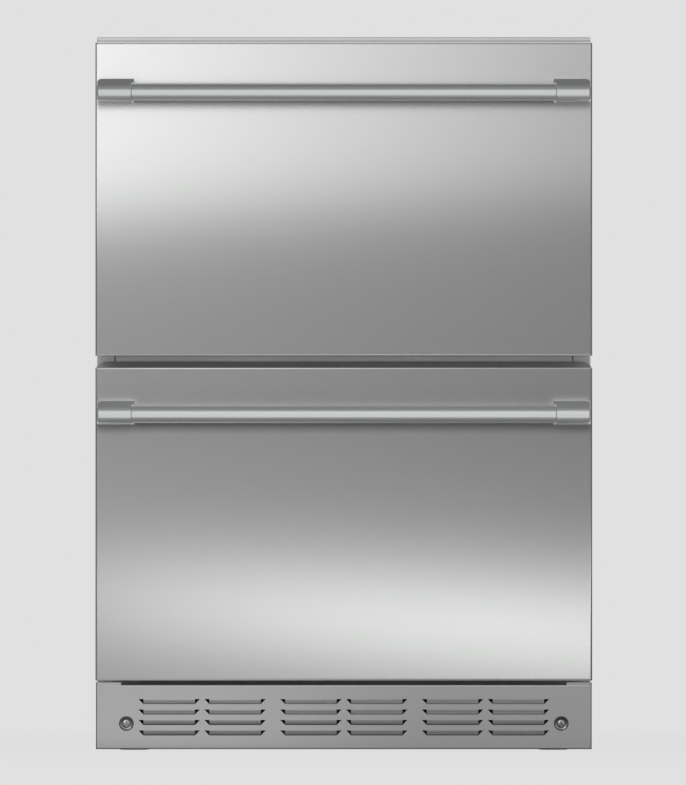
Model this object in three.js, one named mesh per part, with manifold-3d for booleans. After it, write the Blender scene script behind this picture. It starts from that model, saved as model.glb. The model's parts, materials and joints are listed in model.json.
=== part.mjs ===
// Undercounter drawer refrigerator: two stainless drawers over a louvred toe grille.
//
// Millimetres. +X is right, +Y is back, +Z is up, seen from in front of the drawers.
// The origin is on the floor, at the middle of the whole object's footprint.
// Pieces that touch keep the clearance called fit between them.

import * as THREE from 'three';
import { mergeVertices } from 'three/addons/utils/BufferGeometryUtils.js';
import Module from 'manifold-3d';

const wasm = await Module();
wasm.setup();

// ---------------------------------------------------------------- driving dimensions

const fit = 0.3; // gap between pieces that touch
const through = 5; // how far a cutting solid runs past what it cuts
const sheet = 1; // cabinet, front and grille sheet steel
const roundSides = 32; // flats round a bar or a large round hole

// drawer fronts
const frontWidth = 603;
const frontHeight = 380;
const frontThickness = 45;
const frontEdgeRadius = 2.5;
const frontBackReturn = 12; // lip of the skin folded in over the inner panel
const innerPanelThickness = 2;

// heights, from the floor up
const grilleBottomZ = 2;
const grilleHeight = 77.7;
const lowerGap = 5.5; // grille to lower front
const middleGap = 14.3; // between the fronts
const topReveal = 7.5; // cabinet above the upper front

// gasket
const gasketInset = 9; // from the edge of the front
const gasketWidth = 16;
const gasketThickness = 11.4;
const gasketGrooveY = [4, 6.8]; // bellows groove, from the gasket's front
const gasketGrooveDepth = 3.2;

// handle
const handleStandoff = 46; // drawer face to bar axis
const handleBarRadius = 11;
const collarRadius = 12.4; // end post around the bar
const collarLength = 41.6;
const collarEdgeRadius = 2;
const postInset = 2.3; // post to the side edge of the front
const postBaseWidth = 45;
const postBaseRise = 16; // base above the bar axis
const postCornerRadius = 5;
const handleBoreRadius = 5; // the bar is a thick tube
const spigotRadius = 7; // bar end held in the post
const spigotLength = 12;
const handleDropUpper = 60.3; // top edge of the front to the bar axis
const handleDropLower = 56.4;

// cabinet
const cabinetInset = 1.5; // cabinet's side behind the front's side edge
const cabinetDepth = 553;
const flangeWidth = 22; // front edge of the wrapper, folded inwards
const linerSheet = 2;
const sideInsulation = 36;
const topInsulation = 38;
const backInsulation = 40;
const floorInsulation = 30;
const machineHeight = 72; // clear height of the machine space behind the grille
const humpDepth = 205; // compressor space at the back
const humpHeight = 212;
const railDepth = 22; // cross rail between the drawers
const railMargin = 3; // rail beyond the gasket that seals on it

// base pan and feet
const panSheet = 1.6;
const panRim = 18; // front and back edges, folded up
const footPadRadius = 19;
const footPadHeight = 9;
const footPadGap = 3; // pad to pan with the foot screwed right in
const footStudRadius = 5;
const footStudLength = 46;
const footInset = 45; // foot axis to the cabinet's sides, front and back
const footNutRadius = 11;
const footNutHeight = 10;

// toe grille
const grilleInset = 0.5; // grille's side behind the front's side edge
const grilleSetback = 5; // behind the drawer faces
const grilleReturn = 16; // depth of its folded edges
const louvreSideMargin = 43; // plain strip at each end, at least
const louvreGroupPitch = 172; // each group is two louvres side by side
const louvreColumnPitch = 80;
const louvreRows = 4;
const louvrePitch = 12.7;
const louvreTopWidth = 74.5;
const louvreBottomWidth = 62.5;
const louvreHeight = 6.2;
const louvreTopZ = 60.8; // upper edge of the highest row, above the grille's bottom
const bladeDepth = 4.5; // how far a louvre blade is pressed in
const tabWidth = 30.6; // hooks at the top ends, behind the face
const tabHeight = 3.3;
const tabDepth = 7;
const tabSetback = 1.5;
const grilleScrewInset = 37; // from the side edges of the grille
const grilleScrewHeight = 31; // above the grille's bottom
const screwCupRadius = 8.8;
const screwCupDepth = 5;
const screwHeadRadius = 4.6;
const screwHeadHeight = 2.6;
const screwShankRadius = 2.1;
const screwLength = 16;
const screwSlotWidth = 1.2;
const screwSlotLength = 5.4;
const screwSlotDepth = 1.4;
const armWidth = 30; // base pan arm that carries the grille
const armWall = 2.5;

// drawers
const slideHeight = 45;
const slideSheet = 1.2;
const slideThickness = 12.7;
const slideMiddleGap = 0.8; // running clearance between slide members
const slideLength = 410;
const slideRailGap = 4; // cross rail to the front end of the slides
const binSheet = 1.2;
const binRim = 8;
const binFloorGap = 10; // over the liner floor and step
const binBackGap = 6;
const binRailGap = 13; // bins to the cross rail
const upperBinHeight = 248;
const upperSlideHeight = 48; // slide axis above the upper bin's floor
const lowerSlideDrop = 106; // slide axis below the lower bin's rim
const dividerSheet = 3;
const dividerFold = 14;
const dividerDrop = 10; // below the rim

// cooling system
const compressorRadius = 74;
const compressorHeight = 158;
const compressorWall = 4;
const compressorSideGap = 43.7; // foot plate to the right end of the back panel
const compressorFootLength = 190;
const compressorFootWidth = 90;
const compressorFootSheet = 3;
const tubeRadius = 4;
const condenserNutGap = 6; // coil to the front left foot's nut
const condenserWidth = 215;
const condenserPasses = 7;
const condenserPitch = 22;
const condenserFrontGap = 48; // cabinet face to the first pass
const condenserZ = 46;
const finThickness = 1;
const finHeight = 50;
const finCount = 5;
const condenserFanRadius = 62;
const shroudSideGap = 90.7; // shroud to the left end of the back panel
const condenserFanZ = 104;
const fanTipGap = 5;
const fanHubRadius = 17;
const fanBladeCount = 5;
const fanBladeThickness = 2;
const fanBladePitch = 32; // degrees
const shroudSheet = 2.5;
const shroudWidth = 176;
const motorRadius = 27;
const motorLength = 38;
const motorArmWidth = 10;
const motorArmSheet = 3;
const evaporatorEndGap = 29; // coil's end plates to the cover's sides
const evaporatorBottomZ = 548;
const evaporatorPasses = 6;
const evaporatorPitch = 24;
const evaporatorCoverDepth = 63;
const evaporatorCoverSideGap = 27; // cover to the liner's walls
const evaporatorCoverBottomZ = 500;
const evaporatorFanRadius = 44;
const evaporatorFanDrop = 64; // fan axis below the liner ceiling
const evaporatorMotorRadius = 18;
const evaporatorMotorLength = 20;
const drainPanCoilGap = 33; // condenser coil to the pan
const drainPanSideGap = 48.7; // pan to the right end of the back panel
const drainPanFrontGap = 68.8; // cabinet face to the pan
const drainPanDepth = 190;
const drainPanHeight = 26;

// electrics
const controlHalfWidth = 110;
const controlHeight = 30;
const controlDepth = 46;
const controlSetback = 20; // behind the cabinet's front
const keyRadius = 5;
const keyProud = 1.6;
const keyTravel = 1.2;
const keySunk = 3.4;
const keyPositions = { power: -84, light: -60, warmer: 60, cooler: 84 };
const displayHalfWidth = 34;
const displayHalfHeight = 8;
const displaySunk = 1;
const lightBarHalfWidth = 170;
const lightBarDepth = 16;
const lightBarHeight = 7;
const inletSideInset = 70.7; // inlet's middle to the left end of the back panel
const inletZ = 58;
const inletHalfWidth = 13.5;
const inletHalfHeight = 10;
const inletDepth = 22;
const inletWall = 2.5;
const inletBladePlaces = [[-6.75, -2.5], [0, 2.5], [6.75, -2.5]]; // x and z from the middle
const inletBladeHalfWidth = 1;
const inletBladeHalfHeight = 2;
const inletBladeRecess = 5.5; // blade end to the mouth

// ---------------------------------------------------------------- planes worked out

const frontGap = gasketThickness + 2 * fit;
const totalDepth = collarRadius + handleStandoff + frontThickness + frontGap + cabinetDepth;
const handleAxisY = -totalDepth / 2 + collarRadius;
const faceY = handleAxisY + handleStandoff;
const frontBackY = faceY + frontThickness;
const cabinetFaceY = frontBackY + frontGap;
const backY = cabinetFaceY + cabinetDepth;

const grilleTopZ = grilleBottomZ + grilleHeight;
const lowerFrontZ = grilleTopZ + lowerGap;
const lowerFrontTopZ = lowerFrontZ + frontHeight;
const upperFrontZ = lowerFrontTopZ + middleGap;
const upperFrontTopZ = upperFrontZ + frontHeight;
const cabinetTopZ = upperFrontTopZ + topReveal;
const cabinetFloorZ = footPadHeight + footPadGap;
const panFloorZ = cabinetFloorZ + panSheet;

const cabinetHalf = frontWidth / 2 - cabinetInset;
const innerHalf = cabinetHalf - sheet - fit; // what slides in between the wrapper's sides
const innerBackY = backY - sheet - fit;
const innerTopZ = cabinetTopZ - sheet - fit;

const machineTopZ = panFloorZ + machineHeight;
const humpTopZ = panFloorZ + humpHeight;
const humpFrontY = innerBackY - humpDepth;

const cavityHalf = cabinetHalf - sheet - sideInsulation - linerSheet;
const cavityTopZ = cabinetTopZ - sheet - topInsulation - linerSheet;
const cavityFloorZ = machineTopZ + floorInsulation + linerSheet;
const cavityBackY = backY - sheet - backInsulation - linerSheet;
const stepY = humpFrontY - floorInsulation - linerSheet;
const stepZ = humpTopZ + floorInsulation + linerSheet;

const railMiddleZ = (lowerFrontTopZ + upperFrontZ) / 2;
const railHalfHeight = middleGap / 2 + gasketInset + gasketWidth + railMargin;

const binHalf = cavityHalf - slideThickness - 2 * fit;
const binFrontY = frontBackY - sheet;
const evaporatorCoverY = cavityBackY - evaporatorCoverDepth;
const binBackY = evaporatorCoverY - binBackGap;
const slideY = cabinetFaceY + railDepth + slideRailGap;

const grilleFaceY = faceY + grilleSetback;
const grilleHalf = frontWidth / 2 - grilleInset;

// ---------------------------------------------------------------- making solids

/** A closed manifold solid from a three.js geometry; shared vertices are merged. */
function solidOf(geometry) {
  const bare = geometry.clone();
  bare.deleteAttribute('normal');
  bare.deleteAttribute('uv');
  const merged = mergeVertices(bare, 1e-4);
  const points = merged.attributes.position.array;
  const corners = [];
  for (let i = 0; i < merged.index.count; i += 3) {
    const [a, b, c] = merged.index.array.slice(i, i + 3);
    if (a !== b && b !== c && c !== a) corners.push(a, b, c);
  }
  if (signedVolume(points, corners) < 0) corners.reverse();
  return new wasm.Manifold(new wasm.Mesh({
    numProp: 3,
    vertProperties: new Float32Array(points),
    triVerts: new Uint32Array(corners),
  }));
}

/** Six times the volume that the triangles enclose, negative if they face inwards. */
function signedVolume(points, corners) {
  const at = (i) => new THREE.Vector3().fromArray(points, 3 * corners[i]);
  let sum = 0;
  for (let i = 0; i < corners.length; i += 3) {
    sum += at(i).dot(at(i + 1).cross(at(i + 2)));
  }
  return sum;
}

/** The three.js geometry of a manifold solid. */
function geometryOf(solid) {
  const mesh = solid.getMesh();
  const geometry = new THREE.BufferGeometry();
  geometry.setAttribute('position', new THREE.BufferAttribute(mesh.vertProperties, 3));
  geometry.setIndex(new THREE.BufferAttribute(mesh.triVerts, 1));
  geometry.computeVertexNormals();
  return geometry;
}

/** A box between two values on each axis. */
function block([x0, x1], [y0, y1], [z0, z1]) {
  const geometry = new THREE.BoxGeometry(x1 - x0, y1 - y0, z1 - z0);
  geometry.translate((x0 + x1) / 2, (y0 + y1) / 2, (z0 + z1) / 2);
  return solidOf(geometry);
}

/** A round rod that starts at a point and runs along +axis. */
function rod(axis, [x, y, z], radius, length, sides = 24) {
  const geometry = new THREE.CylinderGeometry(radius, radius, length, sides);
  geometry.translate(0, length / 2, 0);
  if (axis === 'x') geometry.rotateZ(-Math.PI / 2);
  if (axis === 'z') geometry.rotateX(Math.PI / 2);
  geometry.translate(x, y, z);
  return solidOf(geometry);
}

/** A round solid about +Z through (x, y); the profile is a list of [radius, height]. */
function turned(profile, [x, y, z], sides = 32) {
  const points = profile.map(([radius, height]) => new THREE.Vector2(radius, height));
  const geometry = new THREE.LatheGeometry(points, sides);
  geometry.rotateX(Math.PI / 2);
  geometry.translate(x, y, z);
  return solidOf(geometry);
}

const unitX = new THREE.Vector3(1, 0, 0);
const unitY = new THREE.Vector3(0, 1, 0);
const unitZ = new THREE.Vector3(0, 0, 1);

/** A [y, z] outline carried along X. */
function prismAlongX(outline, [x0, x1]) {
  const geometry = extruded(outline, x1 - x0);
  geometry.applyMatrix4(new THREE.Matrix4().makeBasis(unitY, unitZ, unitX));
  geometry.translate(x0, 0, 0);
  return solidOf(geometry);
}

/** An [x, z] outline carried along Y. */
function prismAlongY(outline, [y0, y1]) {
  const geometry = extruded(outline, y1 - y0);
  geometry.applyMatrix4(new THREE.Matrix4().makeBasis(unitX, unitZ, unitY.clone().negate()));
  geometry.translate(0, y1, 0);
  return solidOf(geometry);
}

function extruded(outline, depth) {
  const shape = new THREE.Shape(outline.map(([u, v]) => new THREE.Vector2(u, v)));
  return new THREE.ExtrudeGeometry(shape, { depth, bevelEnabled: false });
}

/** A closed skin over rings of points, each ring with as many points as the next. */
function lofted(rings) {
  const count = rings[0].length;
  const points = rings.flat();
  const corners = [];
  for (let ring = 0; ring + 1 < rings.length; ring += 1) {
    for (let i = 0; i < count; i += 1) {
      const a = ring * count + i;
      const b = ring * count + ((i + 1) % count);
      corners.push(a, b, b + count, a, b + count, a + count);
    }
  }
  const last = (rings.length - 1) * count;
  for (let i = 1; i + 1 < count; i += 1) {
    corners.push(0, i + 1, i, last, last + i, last + i + 1);
  }
  const geometry = new THREE.BufferGeometry();
  geometry.setAttribute('position', new THREE.Float32BufferAttribute(points.flat(), 3));
  geometry.setIndex(corners);
  return solidOf(geometry);
}

/** A tube along a flat route; each ring lies square to the route's mean direction there. */
function tube(route, radius, flatNormal, sides = 6) {
  const rings = route.map((point, i) => {
    const before = route[Math.max(i - 1, 0)];
    const after = route[Math.min(i + 1, route.length - 1)];
    const along = after.clone().sub(before).normalize();
    const across = along.clone().cross(flatNormal).normalize();
    return Array.from({ length: sides }, (_, k) => {
      const turn = (2 * Math.PI * k) / sides;
      return point.clone()
        .addScaledVector(across, radius * Math.cos(turn))
        .addScaledVector(flatNormal, radius * Math.sin(turn))
        .toArray();
    });
  });
  return lofted(rings);
}

/** The route of straight passes joined by half turns; place(u, v) puts it in its plane. */
function serpentine([u0, u1], passes, pitch, place) {
  const bendSteps = 5;
  const route = [place(u0, 0)];
  for (let pass = 0; pass < passes; pass += 1) {
    const forward = pass % 2 === 0;
    const end = forward ? u1 : u0;
    const v = pass * pitch;
    route.push(place(end, v));
    if (pass + 1 === passes) break;
    for (let step = 1; step <= bendSteps; step += 1) {
      const turn = (Math.PI * step) / bendSteps;
      const reach = (pitch / 2) * Math.sin(turn);
      route.push(place(forward ? end + reach : end - reach, v + (pitch / 2) * (1 - Math.cos(turn))));
    }
  }
  return route;
}

const union = (solids) => solids.reduce((whole, piece) => whole.add(piece));
const cutBy = (solid, cutters) => cutters.reduce((left, cutter) => left.subtract(cutter), solid);

// ---------------------------------------------------------------- materials

const finishes = {
  brushedSteel: new THREE.MeshStandardMaterial({ color: 0xb9bbba, roughness: 0.34, metalness: 1 }),
  cabinetSteel: new THREE.MeshStandardMaterial({ color: 0xb4b6b6, roughness: 0.4, metalness: 1 }),
  galvanised: new THREE.MeshStandardMaterial({ color: 0x9da1a3, roughness: 0.5, metalness: 1 }),
  insulation: new THREE.MeshStandardMaterial({ color: 0xd9cfa6, roughness: 0.95, metalness: 0 }),
  linerPlastic: new THREE.MeshStandardMaterial({ color: 0xc9cbcb, roughness: 0.45, metalness: 0 }),
  gasketRubber: new THREE.MeshStandardMaterial({ color: 0x55585a, roughness: 0.7, metalness: 0 }),
  darkPlastic: new THREE.MeshStandardMaterial({ color: 0x232527, roughness: 0.5, metalness: 0 }),
  blackPaint: new THREE.MeshStandardMaterial({ color: 0x1a1b1c, roughness: 0.45, metalness: 0.2 }),
  copper: new THREE.MeshStandardMaterial({ color: 0xb87350, roughness: 0.3, metalness: 1 }),
  aluminium: new THREE.MeshStandardMaterial({ color: 0xcdd0d2, roughness: 0.4, metalness: 1 }),
  clearCover: new THREE.MeshStandardMaterial({ color: 0xe8eceb, roughness: 0.25, metalness: 0 }),
};

const refrigerator = new THREE.Group();

/** Adds one named piece to a group. */
function addPiece(group, name, solid, finish) {
  const mesh = new THREE.Mesh(geometryOf(solid), finishes[finish]);
  mesh.name = name;
  group.add(mesh);
}

// ---------------------------------------------------------------- cabinet shell

/** Sides and top in one sheet, with the front edge folded inwards. */
function outerWrapper() {
  const folded = block([-cabinetHalf, cabinetHalf], [cabinetFaceY, backY], [cabinetFloorZ, cabinetTopZ]);
  return cutBy(folded, [
    block(
      [sheet - cabinetHalf, cabinetHalf - sheet],
      [cabinetFaceY + sheet, backY + through],
      [cabinetFloorZ - through, cabinetTopZ - sheet],
    ),
    block(
      [flangeWidth - cabinetHalf, cabinetHalf - flangeWidth],
      [cabinetFaceY - through, cabinetFaceY + sheet + through],
      [cabinetFloorZ - through, cabinetTopZ - flangeWidth],
    ),
    ...Object.values(grilleScrewSides).map((x) => armNotch(x)),
  ]);
}

/** Room for a base pan arm through the wrapper's folded front edge. */
function armNotch(x) {
  const half = armWidth / 2 + fit;
  return block(
    [x - half, x + half],
    [cabinetFaceY - through, cabinetFaceY + sheet + through],
    [cabinetFloorZ - through, grilleScrewZ + half],
  );
}

function backPanel() {
  const panel = block([-innerHalf, innerHalf], [backY - sheet, backY], [cabinetFloorZ, innerTopZ]);
  return panel.subtract(inletBlock(fit, [backY - sheet - through, backY + through]));
}

/** The cavity's side outline, grown outwards by an offset and run forward to a front plane. */
function cavityOutline(offset, frontY) {
  return [
    [frontY, cavityFloorZ - offset],
    [stepY + offset, cavityFloorZ - offset],
    [stepY + offset, stepZ - offset],
    [cavityBackY + offset, stepZ - offset],
    [cavityBackY + offset, cavityTopZ + offset],
    [frontY, cavityTopZ + offset],
  ];
}

/** Open-front tub with a step over the compressor and a flange round its mouth. */
function innerLiner() {
  const tub = prismAlongX(
    cavityOutline(linerSheet, cabinetFaceY),
    [-cavityHalf - linerSheet, cavityHalf + linerSheet],
  );
  const flangeHalf = cabinetHalf - flangeWidth - fit;
  const flange = block(
    [-flangeHalf, flangeHalf],
    [cabinetFaceY, cabinetFaceY + linerSheet],
    [machineTopZ, cabinetTopZ - flangeWidth - fit],
  );
  const cavity = prismAlongX(cavityOutline(0, cabinetFaceY - through), [-cavityHalf, cavityHalf]);
  return tub.add(flange).subtract(cavity);
}

/** Foam between the wrapper, the back panel and the liner. */
function foamInsulation() {
  const foamFrontY = cabinetFaceY + linerSheet + fit;
  const whole = block([-innerHalf, innerHalf], [foamFrontY, innerBackY], [machineTopZ, innerTopZ]);
  const offset = linerSheet + fit;
  return cutBy(whole, [
    prismAlongX(cavityOutline(offset, foamFrontY - through), [-cavityHalf - offset, cavityHalf + offset]),
    block(
      [-innerHalf - through, innerHalf + through],
      [humpFrontY, innerBackY + through],
      [machineTopZ - through, humpTopZ],
    ),
  ]);
}

/** Cross rail that both gaskets close on. */
function crossRail() {
  return block(
    [fit - cavityHalf, cavityHalf - fit],
    [cabinetFaceY, cabinetFaceY + railDepth],
    [railMiddleZ - railHalfHeight, railMiddleZ + railHalfHeight],
  );
}

// ---------------------------------------------------------------- base pan, feet, toe grille

const footPlaces = {
  front_left: [footInset - cabinetHalf, cabinetFaceY + footInset],
  front_right: [cabinetHalf - footInset, cabinetFaceY + footInset],
  rear_left: [footInset - cabinetHalf, backY - footInset],
  rear_right: [cabinetHalf - footInset, backY - footInset],
};
const grilleScrewZ = grilleBottomZ + grilleScrewHeight;
const grilleScrewX = grilleHalf - grilleScrewInset;
const grilleScrewSides = { left: -grilleScrewX, right: grilleScrewX };
const cupBackY = grilleFaceY + screwCupDepth + sheet;
const armFrontY = cupBackY + fit;

/** Pan between the wrapper's sides, with nuts for the feet and two arms out to the grille. */
function basePan() {
  const panFrontY = cabinetFaceY + sheet + fit;
  const folded = block(
    [-innerHalf, innerHalf],
    [panFrontY, innerBackY],
    [cabinetFloorZ, cabinetFloorZ + panRim],
  ).subtract(block(
    [-innerHalf - through, innerHalf + through],
    [panFrontY + panSheet, innerBackY - panSheet],
    [panFloorZ, cabinetFloorZ + panRim + through],
  ));
  const feet = Object.values(footPlaces);
  const nuts = feet.map(([x, y]) => rod(
    'z',
    [x, y, cabinetFloorZ],
    footNutRadius,
    panSheet + footNutHeight,
    6,
  ));
  const studHoles = feet.map(([x, y]) => rod(
    'z',
    [x, y, cabinetFloorZ - through],
    footStudRadius + fit,
    panSheet + footNutHeight + 2 * through,
  ));
  const arms = Object.values(grilleScrewSides).map((x) => grilleArm(x, panFrontY));
  const screwHoles = Object.values(grilleScrewSides).map((x) => rod(
    'y',
    [x, armFrontY - through, grilleScrewZ],
    screwShankRadius + fit,
    armWall + 2 * through,
    16,
  ));
  return cutBy(union([folded, ...nuts, ...arms]), [...studHoles, ...screwHoles]);
}

/** Inverted channel from the pan's front edge to the back of the grille. */
function grilleArm(x, panFrontY) {
  const armTopZ = grilleScrewZ + armWidth / 2;
  const outside = block(
    [x - armWidth / 2, x + armWidth / 2],
    [armFrontY, panFrontY + panSheet],
    [cabinetFloorZ, armTopZ],
  );
  return outside.subtract(block(
    [x - armWidth / 2 + armWall, x + armWidth / 2 - armWall],
    [armFrontY + armWall, panFrontY],
    [cabinetFloorZ - through, armTopZ - armWall],
  ));
}

/** Round pad with a threaded stud, drawn plain, that screws up into the base pan. */
function levellingFoot([x, y]) {
  const edge = footPadHeight / 4;
  const profile = [
    [0, 0],
    [footPadRadius - edge, 0],
    [footPadRadius, edge],
    [footPadRadius, footPadHeight - edge],
    [footPadRadius - 2 * edge, footPadHeight],
    [footStudRadius, footPadHeight],
    [footStudRadius, footPadHeight + footStudLength],
    [0, footPadHeight + footStudLength],
  ];
  return turned(profile, [x, y, 0], 24);
}

/** The middle of each louvre across the grille: as many pairs as fit, centred. */
function louvreColumns() {
  const groups = Math.floor((2 * grilleHalf - 2 * louvreSideMargin) / louvreGroupPitch);
  return Array.from({ length: groups }, (_, group) => {
    const middle = (group - (groups - 1) / 2) * louvreGroupPitch;
    return [middle - louvreColumnPitch / 2, middle + louvreColumnPitch / 2];
  }).flat();
}

/** One louvre: the opening is a trapezium, and its blade is pressed in from the top edge. */
function louvreOpening(x, topZ) {
  const bottomZ = topZ - louvreHeight;
  const outline = [
    [x - louvreTopWidth / 2, topZ],
    [x - louvreBottomWidth / 2, bottomZ],
    [x + louvreBottomWidth / 2, bottomZ],
    [x + louvreTopWidth / 2, topZ],
  ];
  return prismAlongY(outline, [grilleFaceY - through, grilleFaceY + sheet + through]);
}

function louvreBlade(x, topZ) {
  const bottomZ = topZ - louvreHeight;
  const outline = [
    [grilleFaceY + sheet / 8, topZ + sheet / 2],
    [grilleFaceY + sheet / 8, topZ],
    [grilleFaceY + bladeDepth, bottomZ - sheet],
    [grilleFaceY + bladeDepth + sheet, bottomZ - sheet],
    [grilleFaceY + sheet, topZ + sheet / 2],
  ];
  return prismAlongX(outline, [x - louvreBottomWidth / 2, x + louvreBottomWidth / 2]);
}

/** Folded panel with louvres, a cup for each screw and a hook tab at each top end. */
function toeGrille() {
  const half = grilleHalf;
  const returnY = grilleFaceY + grilleReturn;
  const pan = block([-half, half], [grilleFaceY, returnY], [grilleBottomZ, grilleTopZ]).subtract(block(
    [sheet - half, half - sheet],
    [grilleFaceY + sheet, returnY + through],
    [grilleBottomZ + sheet, grilleTopZ - sheet],
  ));
  const sides = Object.values(grilleScrewSides);
  const cups = sides.map((x) => rod(
    'y',
    [x, grilleFaceY + sheet / 2, grilleScrewZ],
    screwCupRadius + sheet,
    cupBackY - grilleFaceY - sheet / 2,
  ));
  const cupHollows = sides.map((x) => rod(
    'y',
    [x, grilleFaceY - through, grilleScrewZ],
    screwCupRadius,
    through + screwCupDepth,
  ));
  const screwHoles = sides.map((x) => rod(
    'y',
    [x, grilleFaceY, grilleScrewZ],
    screwShankRadius + fit,
    cupBackY - grilleFaceY + through,
    16,
  ));
  const tabs = [-1, 1].map((side) => block(
    side > 0 ? [half - tabWidth, half] : [-half, tabWidth - half],
    [grilleFaceY + tabSetback, grilleFaceY + tabSetback + tabDepth],
    [grilleTopZ - sheet, grilleTopZ + tabHeight],
  ));
  const openings = [];
  const blades = [];
  for (const x of louvreColumns()) {
    for (let row = 0; row < louvreRows; row += 1) {
      const topZ = grilleBottomZ + louvreTopZ - row * louvrePitch;
      openings.push(louvreOpening(x, topZ));
      blades.push(louvreBlade(x, topZ));
    }
  }
  const pressed = cutBy(union([pan, ...cups, ...tabs]), [...cupHollows, ...screwHoles, ...openings]);
  return union([pressed, ...blades]);
}

/** Pan-head screw with a crossed slot; its head seats on the bottom of the cup. */
function grilleScrew(x) {
  const headBackY = grilleFaceY + screwCupDepth - fit;
  const headFrontY = headBackY - screwHeadHeight;
  const head = rod('y', [x, headFrontY, grilleScrewZ], screwHeadRadius, screwHeadHeight);
  const shank = rod('y', [x, headFrontY + screwSlotDepth, grilleScrewZ], screwShankRadius, screwLength, 12);
  const slotDepth = [headFrontY - through, headFrontY + screwSlotDepth];
  const half = screwSlotWidth / 2;
  const reach = screwSlotLength / 2;
  return cutBy(head.add(shank), [
    block([x - reach, x + reach], slotDepth, [grilleScrewZ - half, grilleScrewZ + half]),
    block([x - half, x + half], slotDepth, [grilleScrewZ - reach, grilleScrewZ + reach]),
  ]);
}

// ---------------------------------------------------------------- cooling system

const compressorX = innerHalf - compressorSideGap - compressorFootLength / 2;

/** Hollow steel dome on a pressed foot plate. */
function compressor() {
  const y = innerBackY - humpDepth / 2;
  const baseZ = panFloorZ + fit;
  const dome = compressorHeight - compressorRadius / 2;
  const outside = [];
  const inside = [];
  const roundSteps = 5;
  for (let step = 0; step <= roundSteps; step += 1) {
    const turn = (Math.PI / 2) * (step / roundSteps);
    const radius = compressorRadius * Math.cos(turn);
    const height = dome + (compressorRadius / 2) * Math.sin(turn);
    outside.push([Math.max(radius, 0), height]);
    inside.push([Math.max(radius - compressorWall, 0), height - compressorWall]);
  }
  const profile = [[compressorRadius, 0], ...outside];
  profile[profile.length - 1][0] = 0;
  const hollow = [[0, -through], [compressorRadius - compressorWall, -through], ...inside];
  hollow[hollow.length - 1][0] = 0;
  const shell = turned([[0, 0], ...profile], [compressorX, y, baseZ], 24);
  const foot = block(
    [compressorX - compressorFootLength / 2, compressorX + compressorFootLength / 2],
    [y - compressorFootWidth / 2, y + compressorFootWidth / 2],
    [baseZ, baseZ + compressorFootSheet],
  );
  return shell.add(foot).subtract(turned(hollow, [compressorX, y, baseZ], 24));
}

const condenserLeftX = footInset - cabinetHalf + footNutRadius + condenserNutGap;

/** Straight tube passes joined by half turns, carried by thin upright fins. */
function condenserCoil() {
  const firstY = cabinetFaceY + condenserFrontGap;
  const bend = condenserPitch / 2 + tubeRadius;
  const ends = [condenserLeftX + bend, condenserLeftX + condenserWidth - bend];
  const route = serpentine(ends, condenserPasses, condenserPitch, (u, v) => (
    new THREE.Vector3(u, firstY + v, condenserZ)
  ));
  const span = (condenserPasses - 1) * condenserPitch;
  const fins = [];
  for (let i = 0; i < finCount; i += 1) {
    const x = ends[0] + ((ends[1] - ends[0]) * i) / (finCount - 1);
    fins.push(block(
      [x - finThickness / 2, x + finThickness / 2],
      [firstY - condenserPitch / 2, firstY + span + condenserPitch / 2],
      [panFloorZ + fit, panFloorZ + fit + finHeight],
    ));
  }
  return union([tube(route, tubeRadius, unitZ), ...fins]);
}

/** Hub and pitched blades about +Y; the fan's front is at frontY. */
function fanBlade([x, z], frontY, radius, hubRadius, depth) {
  const hub = rod('y', [x, frontY, z], hubRadius, depth, 20);
  const blades = [];
  const length = radius - hubRadius / 2;
  const chord = (depth - fanBladeThickness) / Math.sin(THREE.MathUtils.degToRad(fanBladePitch));
  for (let i = 0; i < fanBladeCount; i += 1) {
    const geometry = new THREE.BoxGeometry(length, fanBladeThickness, Math.min(chord, radius / 2));
    geometry.rotateX(THREE.MathUtils.degToRad(fanBladePitch));
    geometry.translate(hubRadius / 2 + length / 2, 0, 0);
    geometry.rotateY((2 * Math.PI * i) / fanBladeCount);
    geometry.translate(x, frontY + depth / 2, z);
    blades.push(solidOf(geometry));
  }
  return union([hub, ...blades]);
}

/** Round motor behind a fan, with a cross arm whose two legs reach forward to a plate. */
function fanMotor([x, z], frontY, radius, length, armHalf, plateY) {
  const body = rod('y', [x, frontY, z], radius, length);
  const armY = frontY + length - motorArmSheet;
  const arm = block(
    [x - armHalf, x + armHalf],
    [armY, armY + motorArmSheet],
    [z - motorArmWidth / 2, z + motorArmWidth / 2],
  );
  const legs = [-1, 1].map((side) => {
    const edge = x + side * armHalf;
    const inner = edge - side * motorArmSheet;
    return block(
      [Math.min(edge, inner), Math.max(edge, inner)],
      [plateY, armY + motorArmSheet],
      [z - motorArmWidth / 2, z + motorArmWidth / 2],
    );
  });
  return union([body, arm, ...legs]);
}

const shroudY = humpFrontY + fit;
const condenserFanDepth = 26;
const condenserFanY = shroudY + shroudSheet + fanTipGap;
const condenserFanX = shroudSideGap + shroudWidth / 2 - innerHalf;
const condenserFanAxis = [condenserFanX, condenserFanZ];

/** Plate with a round mouth that stands at the front of the compressor space. */
function fanShroud() {
  const plate = block(
    [condenserFanX - shroudWidth / 2, condenserFanX + shroudWidth / 2],
    [shroudY, shroudY + shroudSheet],
    [panFloorZ + fit, humpTopZ - fit],
  );
  const mouth = [condenserFanX, shroudY - through, condenserFanZ];
  const mouthRadius = condenserFanRadius + fanTipGap;
  return plate.subtract(rod('y', mouth, mouthRadius, shroudSheet + 2 * through, roundSides));
}

const evaporatorCoverHalf = cavityHalf - evaporatorCoverSideGap;
const evaporatorHalf = evaporatorCoverHalf - evaporatorEndGap;
const evaporatorFanAxis = [0, cavityTopZ - evaporatorFanDrop];
const evaporatorFanDepth = 14;
const evaporatorFanY = evaporatorCoverY + linerSheet + fanTipGap;

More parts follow.
